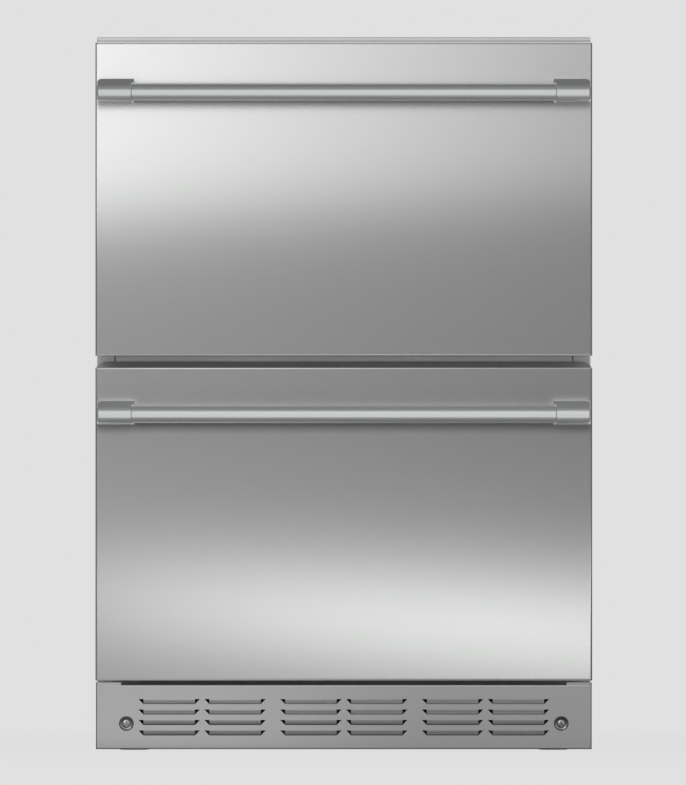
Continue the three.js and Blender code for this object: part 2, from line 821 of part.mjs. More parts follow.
/** Tube passes behind the cover, with a plate at each end. */
function evaporatorCoil() {
  const y = (evaporatorCoverY + linerSheet + cavityBackY) / 2;
  const route = serpentine(
    [-evaporatorHalf, evaporatorHalf],
    evaporatorPasses,
    evaporatorPitch,
    (u, v) => new THREE.Vector3(u, y, evaporatorBottomZ + v),
  );
  const span = (evaporatorPasses - 1) * evaporatorPitch;
  const plates = [-1, 0, 1].map((side) => block(
    [side * evaporatorHalf - finThickness / 2, side * evaporatorHalf + finThickness / 2],
    [y - 3 * tubeRadius, cavityBackY - fit],
    [evaporatorBottomZ - evaporatorPitch / 2, evaporatorBottomZ + span + evaporatorPitch / 2],
  ));
  return union([tube(route, tubeRadius, unitY), ...plates]);
}

/** Folded panel in front of the coil, with the fan's mouth and a row of return slots. */
function evaporatorCover() {
  const half = evaporatorCoverHalf;
  const top = cavityTopZ - fit;
  const back = cavityBackY - fit;
  const cover = block([-half, half], [evaporatorCoverY, back], [evaporatorCoverBottomZ, top]).subtract(block(
    [linerSheet - half, half - linerSheet],
    [evaporatorCoverY + linerSheet, back + through],
    [evaporatorCoverBottomZ + linerSheet, top - linerSheet],
  ));
  const [x, z] = evaporatorFanAxis;
  const mouth = [x, evaporatorCoverY - through, z];
  const cut = [rod('y', mouth, evaporatorFanRadius + fanTipGap, linerSheet + 2 * through, roundSides)];
  const slotCount = 6;
  const slotPitch = (2 * half) / slotCount;
  for (let i = 0; i < slotCount; i += 1) {
    const middle = -half + slotPitch * (i + 0.5);
    cut.push(block(
      [middle - slotPitch / 3, middle + slotPitch / 3],
      [evaporatorCoverY - through, evaporatorCoverY + linerSheet + through],
      [evaporatorCoverBottomZ + 5 * linerSheet, evaporatorCoverBottomZ + 10 * linerSheet],
    ));
  }
  return cutBy(cover, cut);
}

/** Open tray on the base pan, beside the condenser coil. */
function drainPan() {
  const leftX = condenserLeftX + condenserWidth + drainPanCoilGap;
  const rightX = innerHalf - drainPanSideGap;
  const frontY = cabinetFaceY + drainPanFrontGap;
  const backEdgeY = frontY + drainPanDepth;
  const bottomZ = panFloorZ + fit;
  const wall = linerSheet;
  const outside = block([leftX, rightX], [frontY, backEdgeY], [bottomZ, bottomZ + drainPanHeight]);
  return outside.subtract(block(
    [leftX + wall, rightX - wall],
    [frontY + wall, backEdgeY - wall],
    [bottomZ + wall, bottomZ + drainPanHeight + through],
  ));
}

// ---------------------------------------------------------------- electrics

const controlFaceY = cabinetFaceY + controlSetback;
const controlTopZ = cavityTopZ - fit;
const keyZ = controlTopZ - controlHeight / 2;

/** Housing under the liner's ceiling, with a sunk display and a round well for each key. */
function controlPanel() {
  const housing = block(
    [-controlHalfWidth, controlHalfWidth],
    [controlFaceY, controlFaceY + controlDepth],
    [controlTopZ - controlHeight, controlTopZ],
  );
  const wells = Object.values(keyPositions).map((x) => rod(
    'y',
    [x, controlFaceY - through, keyZ],
    keyRadius + fit,
    through + keySunk + keyTravel + fit,
    20,
  ));
  const display = block(
    [-displayHalfWidth, displayHalfWidth],
    [controlFaceY - through, controlFaceY + displaySunk],
    [keyZ - displayHalfHeight, keyZ + displayHalfHeight],
  );
  return cutBy(housing, [...wells, display]);
}

function controlKey(x) {
  return rod('y', [x, controlFaceY - keyProud, keyZ], keyRadius, keyProud + keySunk, 20);
}

/** Light diffuser under the ceiling, just behind the control panel. */
function lightBar() {
  const frontY = controlFaceY + controlDepth + linerSheet;
  const topZ = cavityTopZ - fit;
  const edge = lightBarHeight / 3;
  const outline = [
    [frontY, topZ],
    [frontY, topZ - lightBarHeight + edge],
    [frontY + edge, topZ - lightBarHeight],
    [frontY + lightBarDepth - edge, topZ - lightBarHeight],
    [frontY + lightBarDepth, topZ - lightBarHeight + edge],
    [frontY + lightBarDepth, topZ],
  ];
  return prismAlongX(outline, [-lightBarHalfWidth, lightBarHalfWidth]);
}

const inletX = inletSideInset - innerHalf;

/** The inlet's outer block, grown by an offset, between two depths. */
function inletBlock(offset, depth) {
  const halfWidth = inletHalfWidth + inletWall + offset;
  const halfHeight = inletHalfHeight + inletWall + offset;
  return block([inletX - halfWidth, inletX + halfWidth], depth, [inletZ - halfHeight, inletZ + halfHeight]);
}

/** Three-blade power inlet let into the back panel, with a flange behind it. */
function powerInlet() {
  const body = inletBlock(0, [backY - inletDepth, backY]);
  const flange = inletBlock(2 * inletWall, [innerBackY - inletWall, innerBackY]);
  const mouth = block(
    [inletX - inletHalfWidth, inletX + inletHalfWidth],
    [backY - inletDepth + inletWall, backY + through],
    [inletZ - inletHalfHeight, inletZ + inletHalfHeight],
  );
  const bladeY = [backY - inletDepth + inletWall / 2, backY - inletBladeRecess];
  const blades = inletBladePlaces.map(([across, up]) => {
    const x = inletX + across;
    const z = inletZ + up;
    return block(
      [x - inletBladeHalfWidth, x + inletBladeHalfWidth],
      bladeY,
      [z - inletBladeHalfHeight, z + inletBladeHalfHeight],
    );
  });
  return union([body.add(flange).subtract(mouth), ...blades]);
}

// ---------------------------------------------------------------- drawers

/** The front's outer form, inset all round, with its face edges rounded. */
function frontForm(bottomZ, inset, backPlaneY) {
  const radius = Math.max(frontEdgeRadius - inset, fit);
  const halfWidth = frontWidth / 2 - inset - radius;
  const low = bottomZ + inset + radius;
  const high = bottomZ + frontHeight - inset - radius;
  const corners = [[-halfWidth, low], [halfWidth, low], [halfWidth, high], [-halfWidth, high]];
  const shape = new THREE.Shape(corners.map(([u, v]) => new THREE.Vector2(u, v)));
  const geometry = new THREE.ExtrudeGeometry(shape, {
    depth: frontThickness,
    bevelSize: radius,
    bevelThickness: radius,
    bevelSegments: 3,
  });
  // the extrusion's far end is the face
  geometry.applyMatrix4(new THREE.Matrix4().makeBasis(unitX, unitZ, unitY.clone().negate()));
  geometry.translate(0, faceY + inset + radius + frontThickness, 0);
  const reach = frontWidth + through;
  return solidOf(geometry).subtract(block(
    [-reach, reach],
    [backPlaneY, backPlaneY + 2 * frontThickness],
    [bottomZ - through, bottomZ + frontHeight + through],
  ));
}

/** Steel face with folded sides and a lip round its back. */
function frontSkin(bottomZ) {
  const lip = frontBackReturn;
  return cutBy(frontForm(bottomZ, 0, frontBackY), [
    frontForm(bottomZ, sheet, frontBackY - sheet),
    block(
      [lip - frontWidth / 2, frontWidth / 2 - lip],
      [frontBackY - 2 * sheet, frontBackY + through],
      [bottomZ + lip, bottomZ + frontHeight - lip],
    ),
  ]);
}

const innerPanelY = [frontBackY - sheet - fit - innerPanelThickness, frontBackY - sheet - fit];

const frontCore = (bottomZ) => frontForm(bottomZ, sheet + fit, innerPanelY[0] - fit);

/** Flat panel that closes the back of the front and carries the bin. */
function innerPanel(bottomZ) {
  const inset = sheet + fit;
  return block(
    [inset - frontWidth / 2, frontWidth / 2 - inset],
    innerPanelY,
    [bottomZ + inset, bottomZ + frontHeight - inset],
  );
}

/** Magnetic gasket: a ring with a groove round its outside. */
function gasket(bottomZ) {
  const frontY = frontBackY + fit;
  const ring = (inset, y) => block(
    [inset - frontWidth / 2, frontWidth / 2 - inset],
    y,
    [bottomZ + inset, bottomZ + frontHeight - inset],
  );
  const whole = ring(gasketInset, [frontY, frontY + gasketThickness]);
  const groove = [frontY + gasketGrooveY[0], frontY + gasketGrooveY[1]];
  const grooveFloor = ring(gasketInset + gasketGrooveDepth, groove);
  const grooveRing = ring(gasketInset - through, groove).subtract(grooveFloor);
  const hole = ring(gasketInset + gasketWidth, [frontY - through, frontY + gasketThickness + through]);
  return cutBy(whole, [hole, grooveRing]);
}

const collarOuterX = frontWidth / 2 - postInset;
const collarInnerX = collarOuterX - collarLength;

/** Bar between the posts, with a thinner spigot at each end. */
function handleBar(axisZ) {
  const half = collarInnerX - fit;
  const bar = rod('x', [-half, handleAxisY, axisZ], handleBarRadius, 2 * half, roundSides);
  const reach = half + spigotLength - fit;
  const spigots = rod('x', [-reach, handleAxisY, axisZ], spigotRadius, 2 * reach, 20);
  const boreReach = reach + through;
  const bore = rod('x', [-boreReach, handleAxisY, axisZ], handleBoreRadius, 2 * boreReach, 12);
  return bar.add(spigots).subtract(bore);
}

/** Post at one end: a collar in line with the bar, on a neck that widens to the front. */
function handlePost(side, axisZ) {
  const edge = collarEdgeRadius;
  const innerRound = edge / 4;
  const chord = edge * (1 - Math.SQRT1_2); // half-way point of the end's rounding
  const collarProfile = [
    [0, 0],
    [collarRadius - innerRound, 0],
    [collarRadius, innerRound],
    [collarRadius, collarLength - edge],
    [collarRadius - chord, collarLength - chord],
    [collarRadius - edge, collarLength],
    [0, collarLength],
  ];
  const points = collarProfile.map(([radius, along]) => new THREE.Vector2(radius, along));
  const collar = new THREE.LatheGeometry(points, roundSides);
  collar.rotateZ(-Math.PI / 2);
  collar.translate(collarInnerX, handleAxisY, axisZ);

  const baseInnerX = collarOuterX - postBaseWidth;
  const seatY = faceY - fit;
  const lowZ = axisZ - collarRadius;
  const highZ = axisZ + collarRadius;
  const behindBarY = handleAxisY + handleBarRadius + fit;
  const behindBarRise = (postBaseRise - collarRadius) / 4;
  const neck = lofted([
    neckRing(collarInnerX, collarOuterX - edge, lowZ + edge / 2, highZ - edge / 2, handleAxisY),
    neckRing(collarInnerX, collarOuterX, lowZ, highZ, handleAxisY + collarRadius / 3),
    neckRing(collarInnerX, collarOuterX, lowZ, highZ + behindBarRise, behindBarY),
    neckRing(baseInnerX, collarOuterX, lowZ, axisZ + postBaseRise, seatY - edge),
    neckRing(baseInnerX, collarOuterX, lowZ, axisZ + postBaseRise, seatY),
  ]);
  const bore = rod(
    'x',
    [collarInnerX - through, handleAxisY, axisZ],
    spigotRadius + fit,
    through + spigotLength,
    20,
  );
  const post = solidOf(collar).add(neck).subtract(bore);
  return side > 0 ? post : post.mirror([1, 0, 0]);
}

/** A ring of points at one depth: a rectangle with its outer corners rounded. */
function neckRing(innerX, outerX, lowZ, highZ, y) {
  const radius = Math.min(postCornerRadius, (highZ - lowZ) / 2);
  const steps = 4;
  const ring = [[innerX, y, lowZ]];
  const corner = (centreZ, from) => {
    for (let step = 0; step <= steps; step += 1) {
      const turn = from + (Math.PI / 2) * (step / steps);
      ring.push([outerX - radius + radius * Math.cos(turn), y, centreZ + radius * Math.sin(turn)]);
    }
  };
  corner(lowZ + radius, -Math.PI / 2);
  corner(highZ - radius, 0);
  ring.push([innerX, y, highZ]);
  return ring;
}

/** Side outline of a bin, inset by its wall; a second depth carries it over the step. */
function binOutline(bin, inset, topZ) {
  const front = binFrontY + inset;
  const back = binBackY - inset;
  if (bin.stepY === undefined) {
    return [[front, bin.floorZ + inset], [back, bin.floorZ + inset], [back, topZ], [front, topZ]];
  }
  return [
    [front, bin.floorZ + inset],
    [bin.stepY - inset, bin.floorZ + inset],
    [bin.stepY - inset, bin.stepZ + inset],
    [back, bin.stepZ + inset],
    [back, topZ],
    [front, topZ],
  ];
}

/** Open-topped bin with a rim folded out along both sides. */
function drawerBin(bin) {
  const body = prismAlongX(binOutline(bin, 0, bin.topZ), [-binHalf, binHalf]);
  const rims = block(
    [-binHalf - binRim, binHalf + binRim],
    [slideY, binBackY],
    [bin.topZ - binSheet, bin.topZ],
  );
  const insideHalf = binHalf - binSheet;
  const inside = prismAlongX(binOutline(bin, binSheet, bin.topZ + through), [-insideHalf, insideHalf]);
  return body.add(rims).subtract(inside);
}

/** Upright plate across the bin from front to back, with a fold along its top. */
function binDivider(bin) {
  const inset = binSheet + fit;
  const topZ = bin.topZ - dividerDrop;
  const plate = prismAlongX(binOutline(bin, inset, topZ), [-dividerSheet / 2, dividerSheet / 2]);
  const fold = block(
    [-dividerFold / 2, dividerFold / 2],
    [binFrontY + inset, binBackY - inset],
    [topZ - dividerSheet, topZ],
  );
  return plate.add(fold);
}

/** A channel's outline across the slide: web at one x, lips running to another. */
function channelOutline(webX, lipX, half, middleZ) {
  const inner = webX + Math.sign(lipX - webX) * slideSheet;
  return [
    [webX, middleZ - half],
    [lipX, middleZ - half],
    [lipX, middleZ - half + slideSheet],
    [inner, middleZ - half + slideSheet],
    [inner, middleZ + half - slideSheet],
    [lipX, middleZ + half - slideSheet],
    [lipX, middleZ + half],
    [webX, middleZ + half],
  ];
}

/** The three nested members of one slide, on the right (+1) or left (-1) side. */
function slideMembers(side, middleZ) {
  const step = slideSheet + slideMiddleGap;
  const outerWebX = cavityHalf - fit;
  const middleWebX = outerWebX - step;
  const innerWebX = binHalf + fit;
  const lipX = innerWebX + step + slideSheet;
  const outerHalf = slideHeight / 2;
  const span = [slideY, slideY + slideLength];
  const member = (webX, endX, half) => (
    prismAlongY(channelOutline(side * webX, side * endX, half, middleZ), span)
  );
  return {
    outer: member(outerWebX, lipX, outerHalf),
    middle: member(middleWebX, lipX, outerHalf - step),
    inner: member(innerWebX, middleWebX - step, outerHalf - 2 * step),
  };
}

const upperBinFloorZ = railMiddleZ + railHalfHeight + binRailGap;
const lowerBinTopZ = railMiddleZ - railHalfHeight - binRailGap;
const drawers = {
  upper: {
    bottomZ: upperFrontZ,
    handleZ: upperFrontTopZ - handleDropUpper,
    slideZ: upperBinFloorZ + upperSlideHeight,
    bin: { floorZ: upperBinFloorZ, topZ: upperBinFloorZ + upperBinHeight },
  },
  lower: {
    bottomZ: lowerFrontZ,
    handleZ: lowerFrontTopZ - handleDropLower,
    slideZ: lowerBinTopZ - lowerSlideDrop,
    bin: {
      floorZ: cavityFloorZ + binFloorGap,
      topZ: lowerBinTopZ,
      stepY: stepY - binBackGap,
      stepZ: stepZ + binFloorGap,
    },
  },
};

/** All the pieces of one drawer, and the fixed slide members that carry it. */
function buildDrawer(name, { bottomZ, handleZ, slideZ, bin }) {
  const group = new THREE.Group();
  addPiece(group, `${name}_front_skin`, frontSkin(bottomZ), 'brushedSteel');
  addPiece(group, `${name}_front_core`, frontCore(bottomZ), 'insulation');
  addPiece(group, `${name}_inner_panel`, innerPanel(bottomZ), 'linerPlastic');
  addPiece(group, `${name}_gasket`, gasket(bottomZ), 'gasketRubber');
  addPiece(group, `${name}_handle_bar`, handleBar(handleZ), 'brushedSteel');
  addPiece(group, `${name}_handle_post_left`, handlePost(-1, handleZ), 'brushedSteel');
  addPiece(group, `${name}_handle_post_right`, handlePost(1, handleZ), 'brushedSteel');
  addPiece(group, `${name}_bin`, drawerBin(bin), 'cabinetSteel');
  addPiece(group, `${name}_divider`, binDivider(bin), 'clearCover');
  for (const [sideName, side] of [['left', -1], ['right', 1]]) {
    for (const [member, solid] of Object.entries(slideMembers(side, slideZ))) {
      addPiece(group, `${name}_slide_${member}_${sideName}`, solid, 'galvanised');
    }
  }
  return group;
}

// ---------------------------------------------------------------- assembly

function buildCabinet() {
  const group = new THREE.Group();
  addPiece(group, 'outer_wrapper', outerWrapper(), 'cabinetSteel');
  addPiece(group, 'back_panel', backPanel(), 'galvanised');
  addPiece(group, 'foam_insulation', foamInsulation(), 'insulation');
  addPiece(group, 'inner_liner', innerLiner(), 'linerPlastic');
  addPiece(group, 'cross_rail', crossRail(), 'cabinetSteel');
  addPiece(group, 'base_pan', basePan(), 'galvanised');
  addPiece(group, 'toe_grille', toeGrille(), 'brushedSteel');
  for (const [side, x] of Object.entries(grilleScrewSides)) {
    addPiece(group, `grille_screw_${side}`, grilleScrew(x), 'cabinetSteel');
  }
  for (const [place, at] of Object.entries(footPlaces)) {
    addPiece(group, `foot_${place}`, levellingFoot(at), 'darkPlastic');
  }
  return group;
}

function buildCooling() {
  const group = new THREE.Group();
  addPiece(group, 'compressor', compressor(), 'blackPaint');
  addPiece(group, 'condenser_coil', condenserCoil(), 'copper');
  addPiece(group, 'condenser_fan_shroud', fanShroud(), 'galvanised');
  addPiece(
    group,
    'condenser_fan_blade',
    fanBlade(condenserFanAxis, condenserFanY, condenserFanRadius, fanHubRadius, condenserFanDepth),
    'aluminium',
  );
  addPiece(
    group,
    'condenser_fan_motor',
    fanMotor(
      condenserFanAxis,
      condenserFanY + condenserFanDepth + fit,
      motorRadius,
      motorLength,
      condenserFanRadius + 2 * fanTipGap,
      shroudY + shroudSheet + fit,
    ),
    'blackPaint',
  );
  addPiece(group, 'evaporator_coil', evaporatorCoil(), 'copper');
  addPiece(group, 'evaporator_cover', evaporatorCover(), 'linerPlastic');
  addPiece(
    group,
    'evaporator_fan_blade',
    fanBlade(evaporatorFanAxis, evaporatorFanY, evaporatorFanRadius, fanHubRadius, evaporatorFanDepth),
    'darkPlastic',
  );
  addPiece(
    group,
    'evaporator_fan_motor',
    fanMotor(
      evaporatorFanAxis,
      evaporatorFanY + evaporatorFanDepth + fit,
      evaporatorMotorRadius,
      evaporatorMotorLength,
      evaporatorFanRadius + 2 * fanTipGap,
      evaporatorCoverY + linerSheet + fit,
    ),
    'blackPaint',
  );
  addPiece(group, 'drain_pan', drainPan(), 'darkPlastic');
  return group;
}

function buildElectrics() {
  const group = new THREE.Group();
  addPiece(group, 'control_panel', controlPanel(), 'darkPlastic');
  for (const [key, x] of Object.entries(keyPositions)) {
    addPiece(group, `key_${key}`, controlKey(x), 'clearCover');
  }
  addPiece(group, 'light_bar', lightBar(), 'clearCover');
  addPiece(group, 'power_inlet', powerInlet(), 'darkPlastic');
  return group;
}

refrigerator.add(buildCabinet());
refrigerator.add(buildCooling());
refrigerator.add(buildElectrics());
for (const [name, drawer] of Object.entries(drawers)) {
  refrigerator.add(buildDrawer(name, drawer));
}

export default refrigerator;
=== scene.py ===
"""Looks of an undercounter drawer refrigerator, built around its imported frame.

Metres. +X is right, +Y is back, +Z is up, seen from in front of the drawers.
"""

import json
import math

import bmesh
import bpy
import numpy as np
from bpy.props import FloatProperty, FloatVectorProperty, IntProperty, PointerProperty
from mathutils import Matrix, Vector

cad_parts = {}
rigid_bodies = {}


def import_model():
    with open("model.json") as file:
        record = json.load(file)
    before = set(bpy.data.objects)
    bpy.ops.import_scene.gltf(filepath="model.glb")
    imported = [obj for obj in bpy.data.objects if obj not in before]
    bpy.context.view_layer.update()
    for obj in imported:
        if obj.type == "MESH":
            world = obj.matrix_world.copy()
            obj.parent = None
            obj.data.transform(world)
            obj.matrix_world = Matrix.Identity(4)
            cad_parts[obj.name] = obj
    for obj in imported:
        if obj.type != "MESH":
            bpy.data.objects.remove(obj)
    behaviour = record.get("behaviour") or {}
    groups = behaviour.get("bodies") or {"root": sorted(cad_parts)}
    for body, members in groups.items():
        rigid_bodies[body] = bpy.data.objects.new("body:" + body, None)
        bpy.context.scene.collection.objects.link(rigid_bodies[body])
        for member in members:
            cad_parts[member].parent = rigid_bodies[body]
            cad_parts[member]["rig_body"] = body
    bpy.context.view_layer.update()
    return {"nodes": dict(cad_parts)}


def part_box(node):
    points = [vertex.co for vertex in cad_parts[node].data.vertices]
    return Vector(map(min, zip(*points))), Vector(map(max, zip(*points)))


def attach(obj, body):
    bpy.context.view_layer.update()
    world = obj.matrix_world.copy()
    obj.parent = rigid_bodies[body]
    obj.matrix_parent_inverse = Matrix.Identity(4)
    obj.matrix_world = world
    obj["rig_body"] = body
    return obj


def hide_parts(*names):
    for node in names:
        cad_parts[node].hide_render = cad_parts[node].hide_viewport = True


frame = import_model()

bl_info = {
    "name": "Undercounter Drawer Refrigerator",
    "version": (1, 0, 0),
    "blender": (4, 5, 0),
    "location": "View3D > Sidebar > Refrigerator",
    "description": "Builds the visible pieces and finishes of a two-drawer refrigerator",
    "category": "Add Mesh",
}

MM = 0.001
QUARTER = math.pi / 2
FULL = 2 * math.pi
DRAWERS = ("upper", "lower")
SIDES = {"left": -1, "right": 1}
FRONTS = ("upper_front", "lower_front", "louvred_toe_grille", "louvre_blades")
HANDLES = tuple(f"{drawer}_{part}" for drawer in DRAWERS for part in ("bar", "post_left", "post_right"))


# ---------------------------------------------------------------- settings


def size(name, description, millimetres):
    """A length setting, given in millimetres and kept in metres."""
    default = millimetres * MM
    return FloatProperty(name=name, description=description, default=default, unit="LENGTH", precision=4)


def share(name, description, default):
    """A setting from 0 to 1."""
    return FloatProperty(name=name, description=description, default=default, min=0, max=1, subtype="FACTOR")


def amount(name, description, default):
    """A setting of 0 or more."""
    return FloatProperty(name=name, description=description, default=default, min=0)


def number(name, description, default):
    """A whole number of copies."""
    return IntProperty(name=name, description=description, default=default, min=1)


def tint(name, description, default):
    """A linear colour setting."""
    limits = {"min": 0, "max": 1, "subtype": "COLOR"}
    return FloatVectorProperty(name=name, description=description, default=default, **limits)


class StudioSettings(bpy.types.PropertyGroup):
    """Camera, backdrop and lights."""

    backdrop: share("Backdrop", "Grey that the backdrop and floor show", 0.752)
    camera_distance: size("Camera distance", "From the drawer faces to the lens", 30000)
    frame_height: size("Frame height", "Height of the picture at the drawer faces", 952.8)
    camera_height: size("Camera height", "Height of the lens over the floor", 434.9)
    camera_side: size("Camera side", "How far the lens stands to the right of the middle", -1)
    card_distance: size("Card distance", "From the drawer faces to the reflected card", 600)
    card_grey: share("Card grey", "Brightness of the card away from its glows", 0.05)
    upper_glow: share("Upper glow", "Brightness of the glow reflected by the upper drawer", 0.64)
    lower_glow: amount("Lower glow", "Brightness of the glow reflected by the lower drawer", 1.16)
    side_grey: share("Side grey", "Brightness of the cards at the two sides", 0.25)
    ceiling_grey: share("Ceiling grey", "Brightness of the card overhead", 0.27)
    handle_glow: share("Handle glow", "Brightness of the panels that only the handles reflect", 0.56)
    flag: share("Flag", "Darkness of the black flags under the bars", 0.9)
    flag_drop: size("Flag drop", "How far a flag reaches down from its bar", 13)
    world_light: amount("World light", "Strength of the sky on matt surfaces", 0.62)
    key_light: amount("Key light", "Watts of the large lamp at the upper left", 55)
    fill_light: amount("Fill light", "Watts of the large lamp at the right", 26)
    face_light: amount("Face light", "Watts of the lamp on the fronts", 475)


class MetalSettings(bpy.types.PropertyGroup):
    """Colours and grain of the metals."""

    front: tint("Front steel", "Brushed steel of the fronts and the grille", (0.79, 0.80, 0.79))
    handle: tint("Handle steel", "Satin steel of the handles", (0.70, 0.71, 0.71))
    cabinet: tint("Cabinet steel", "Sheet steel of the cabinet and the bins", (0.70, 0.71, 0.71))
    galvanised: tint("Galvanised steel", "Zinc-coated sheet of the back and the slides", (0.56, 0.58, 0.60))
    front_roughness: share("Front roughness", "Roughness of the brushed fronts", 0.22)
    handle_roughness: share("Handle roughness", "Roughness of the satin handles", 0.28)
    grain: size("Grain", "Width of one brushing line", 0.7)
    grain_length: size("Grain length", "Length of one brushing line", 120)


class FrontSettings(bpy.types.PropertyGroup):
    """Drawer fronts and their gaskets."""

    face_bend: size("Face bend", "Bend radius round the face", 2.2)
    back_bend: size("Back bend", "Bend radius of the folded lip", 1)
    corner: size("Corner", "Corner radius of the face's outline", 0.7)
    lip: size("Lip", "Width of the lip folded in behind", 12)
    sheet: size("Sheet", "Thickness of the steel", 1)
    strip_rise: size("Strip rise", "Height of the rubber strip over the lower front", 7.2)
    strip_end: size("Strip end", "Length over which the strip's ends curve down", 15)
    panel_corner: size("Panel corner", "Corner radius of the inner panel's raised field", 18)
    panel_margin: size("Panel margin", "From the inner panel's edge to its raised field", 34)
    panel_rise: size("Panel rise", "Depth of the inner panel's raised field", 1.2)


class HandleSettings(bpy.types.PropertyGroup):
    """Bar handles."""

    collar: size("Collar", "Length of a post's collar along the bar", 41.6)
    end_round: size("End round", "Rounding of a post's outer end", 2)
    base_rise: size("Base rise", "Base above the bar's middle", 16)
    base_corner: size("Base corner", "Corner radius of the post's base", 5)


class GrilleSettings(bpy.types.PropertyGroup):
    """Louvred toe grille."""

    sheet: size("Sheet", "Thickness of the steel", 1)
    bend: size("Bend", "Bend radius round the panel", 1.6)
    rows: number("Rows", "Rows of louvres", 4)
    groups: number("Groups", "Pairs of louvres across the grille", 3)
    group_pitch: size("Group pitch", "Distance from pair to pair", 172)
    column_pitch: size("Column pitch", "Distance between the louvres of a pair", 80)
    top_width: size("Top width", "Width of a louvre's opening at its top", 74.5)
    bottom_width: size("Bottom width", "Width of a louvre's opening at its bottom", 62.5)
    height: size("Height", "Height of a louvre", 6.2)
    pitch: size("Pitch", "Distance from row to row", 12.7)
    top: size("Top", "Top of the highest row over the panel's lower edge", 60.8)
    blade_depth: size("Blade depth", "How far a blade is pressed in", 4.8)
    cup_radius: size("Cup radius", "Radius of the recess round a screw", 8.8)
    cup_depth: size("Cup depth", "Depth of the recess round a screw", 5)
    tab_width: size("Tab width", "Width of the tab at each end of the upper edge", 30.6)
    tab_rise: size("Tab rise", "Tab above the panel's upper edge", 3.3)


class BinSettings(bpy.types.PropertyGroup):
    """Drawer bins."""

    sheet: size("Sheet", "Thickness of the bin's wall", 1.2)
    corner: size("Corner", "Radius between the bin's walls and floor", 9)
    rim: size("Rim", "Width of the folded rim", 8)
    rim_round: size("Rim round", "Rounding of the folded rim", 0.5)
    step_back: size("Step back", "Where the lower bin's step rises, behind the middle", 89.9)
    step_rise: size("Step rise", "Top of the lower bin's step over the floor", 267.6)


class LinerSettings(bpy.types.PropertyGroup):
    """Moulded cavity."""

    corner: size("Corner", "Radius between the liner's walls", 10)
    mouth_round: size("Mouth round", "Radius between the walls and the front flange", 3)


# ---------------------------------------------------------------- flat outlines and surfaces


def turn_left(vectors):
    """Flat vectors turned a quarter turn anticlockwise: (u, v) becomes (-v, u)."""
    return np.stack([-vectors[..., 1], vectors[..., 0]], -1)


def filleted(corners, radii, inset=0.0, steps=6, open_edge=None):
    """A closed flat outline, given anticlockwise, moved inwards and with its corners rounded.

    A corner moves by inset * (a + b) / (1 + a.b), with a and b the inward normals of its edges.
    Its arc turns about a centre one radius inside both edges, and the radius loses the inset at a
    convex corner and gains it at a hollow one. The two ends of an open edge aren't moved across it.
    """
    corners = np.asarray(corners, float)
    ahead = np.roll(corners, -1, 0) - corners
    ahead /= np.linalg.norm(ahead, axis=1)[:, None]
    behind = np.roll(ahead, 1, 0)
    before, after = turn_left(behind), turn_left(ahead)
    moved = corners + inset * (before + after) / (1 + (before * after).sum(1)[:, None])
    turn = np.arctan2(behind[:, 0] * ahead[:, 1] - behind[:, 1] * ahead[:, 0], (behind * ahead).sum(1))
    radius = np.maximum(np.broadcast_to(radii, turn.shape) - np.sign(turn) * inset, 0)
    if open_edge is not None:
        ends = [open_edge, (open_edge + 1) % len(corners)]
        moved[ends] -= inset * after[open_edge]
        radius[ends] = 0
    start = moved - behind * (radius * np.tan(np.abs(turn) / 2))[:, None]
    centre = start + before * (np.sign(turn) * radius)[:, None]
    angle = (turn[:, None] * np.linspace(0, 1, steps + 1))[..., None]
    arm = (start - centre)[:, None]
    return (centre[:, None] + arm * np.cos(angle) + turn_left(arm) * np.sin(angle)).reshape(-1, 2)


def rectangle(low_u, low_v, high_u, high_v):
    """Corners of a rectangle, anticlockwise from its lower left."""
    return [(low_u, low_v), (high_u, low_v), (high_u, high_v), (low_u, high_v)]


def place(flat, depth, normal):
    """Points of a flat outline set at a depth along an axis; the other axes keep their order."""
    columns = [flat[..., 0], flat[..., 1]]
    columns.insert("xyz".index(normal), np.broadcast_to(depth, flat[..., 0].shape))
    return np.stack(columns, -1)


def stacked(corners, radii, levels, steps=6, open_edge=None, normal="y"):
    """Rings of one rounded outline, moved inwards and set back by each level's (inset, depth)."""
    rings = [(filleted(corners, radii, inset, steps, open_edge), depth) for inset, depth in levels]
    return [place(flat, depth, normal) for flat, depth in rings]


def strip_of(edge, steps=6):
    """Number of the loft's strip of faces that lies along an outline's edge."""
    return (steps + 1) * (edge + 1) - 1


def quarter(radius, start, steps=5):
    """(inset, depth) steps round a quarter circle; 'in' runs from the side to the face, 'out' back."""
    angle = np.linspace(0, QUARTER, steps + 1)
    rounded = np.stack([radius * (1 - np.cos(angle)), radius * (1 - np.sin(angle))], -1)
    return rounded if start == "in" else rounded[::-1]


def round_ends(radius, half, steps):
    """Levels from one wall to the other, at minus and plus half, eased into both by quarter circles."""
    curve = quarter(radius, "out", steps)
    return np.concatenate([curve + (0, -half), curve[::-1] * (1, -1) + (0, half)])


def dome(radius, height, steps=5):
    """Profile of a low round head: an elliptic quarter from the rim to the pole, closed by its base."""
    angle = np.linspace(0, QUARTER, steps + 1)
    curve = np.stack([radius * np.cos(angle), height * np.sin(angle)], -1)
    curve[-1, 0] = 0
    return np.vstack([[(0, 0)], curve])


def grid_faces(rows, columns, wrap_rows=False, wrap_columns=False):
    """Four-cornered faces between the neighbours of a grid of points."""
    row, column = np.meshgrid(
        np.arange(rows if wrap_rows else rows - 1),
        np.arange(columns if wrap_columns else columns - 1),
        indexing="ij",
    )
    next_row, next_column = (row + 1) % rows, (column + 1) % columns
    ends = (row, column), (row, next_column), (next_row, next_column), (next_row, column)
    return np.stack([r * columns + c for r, c in ends], -1)


def low_high(node):
    """A node's lowest and highest corner as arrays."""
    low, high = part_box(node)
    return np.array(low), np.array(high)


def from_front(low, high):
    """Outline of a box seen from in front."""
    return rectangle(low[0], low[2], high[0], high[2])


# ---------------------------------------------------------------- pieces from surfaces


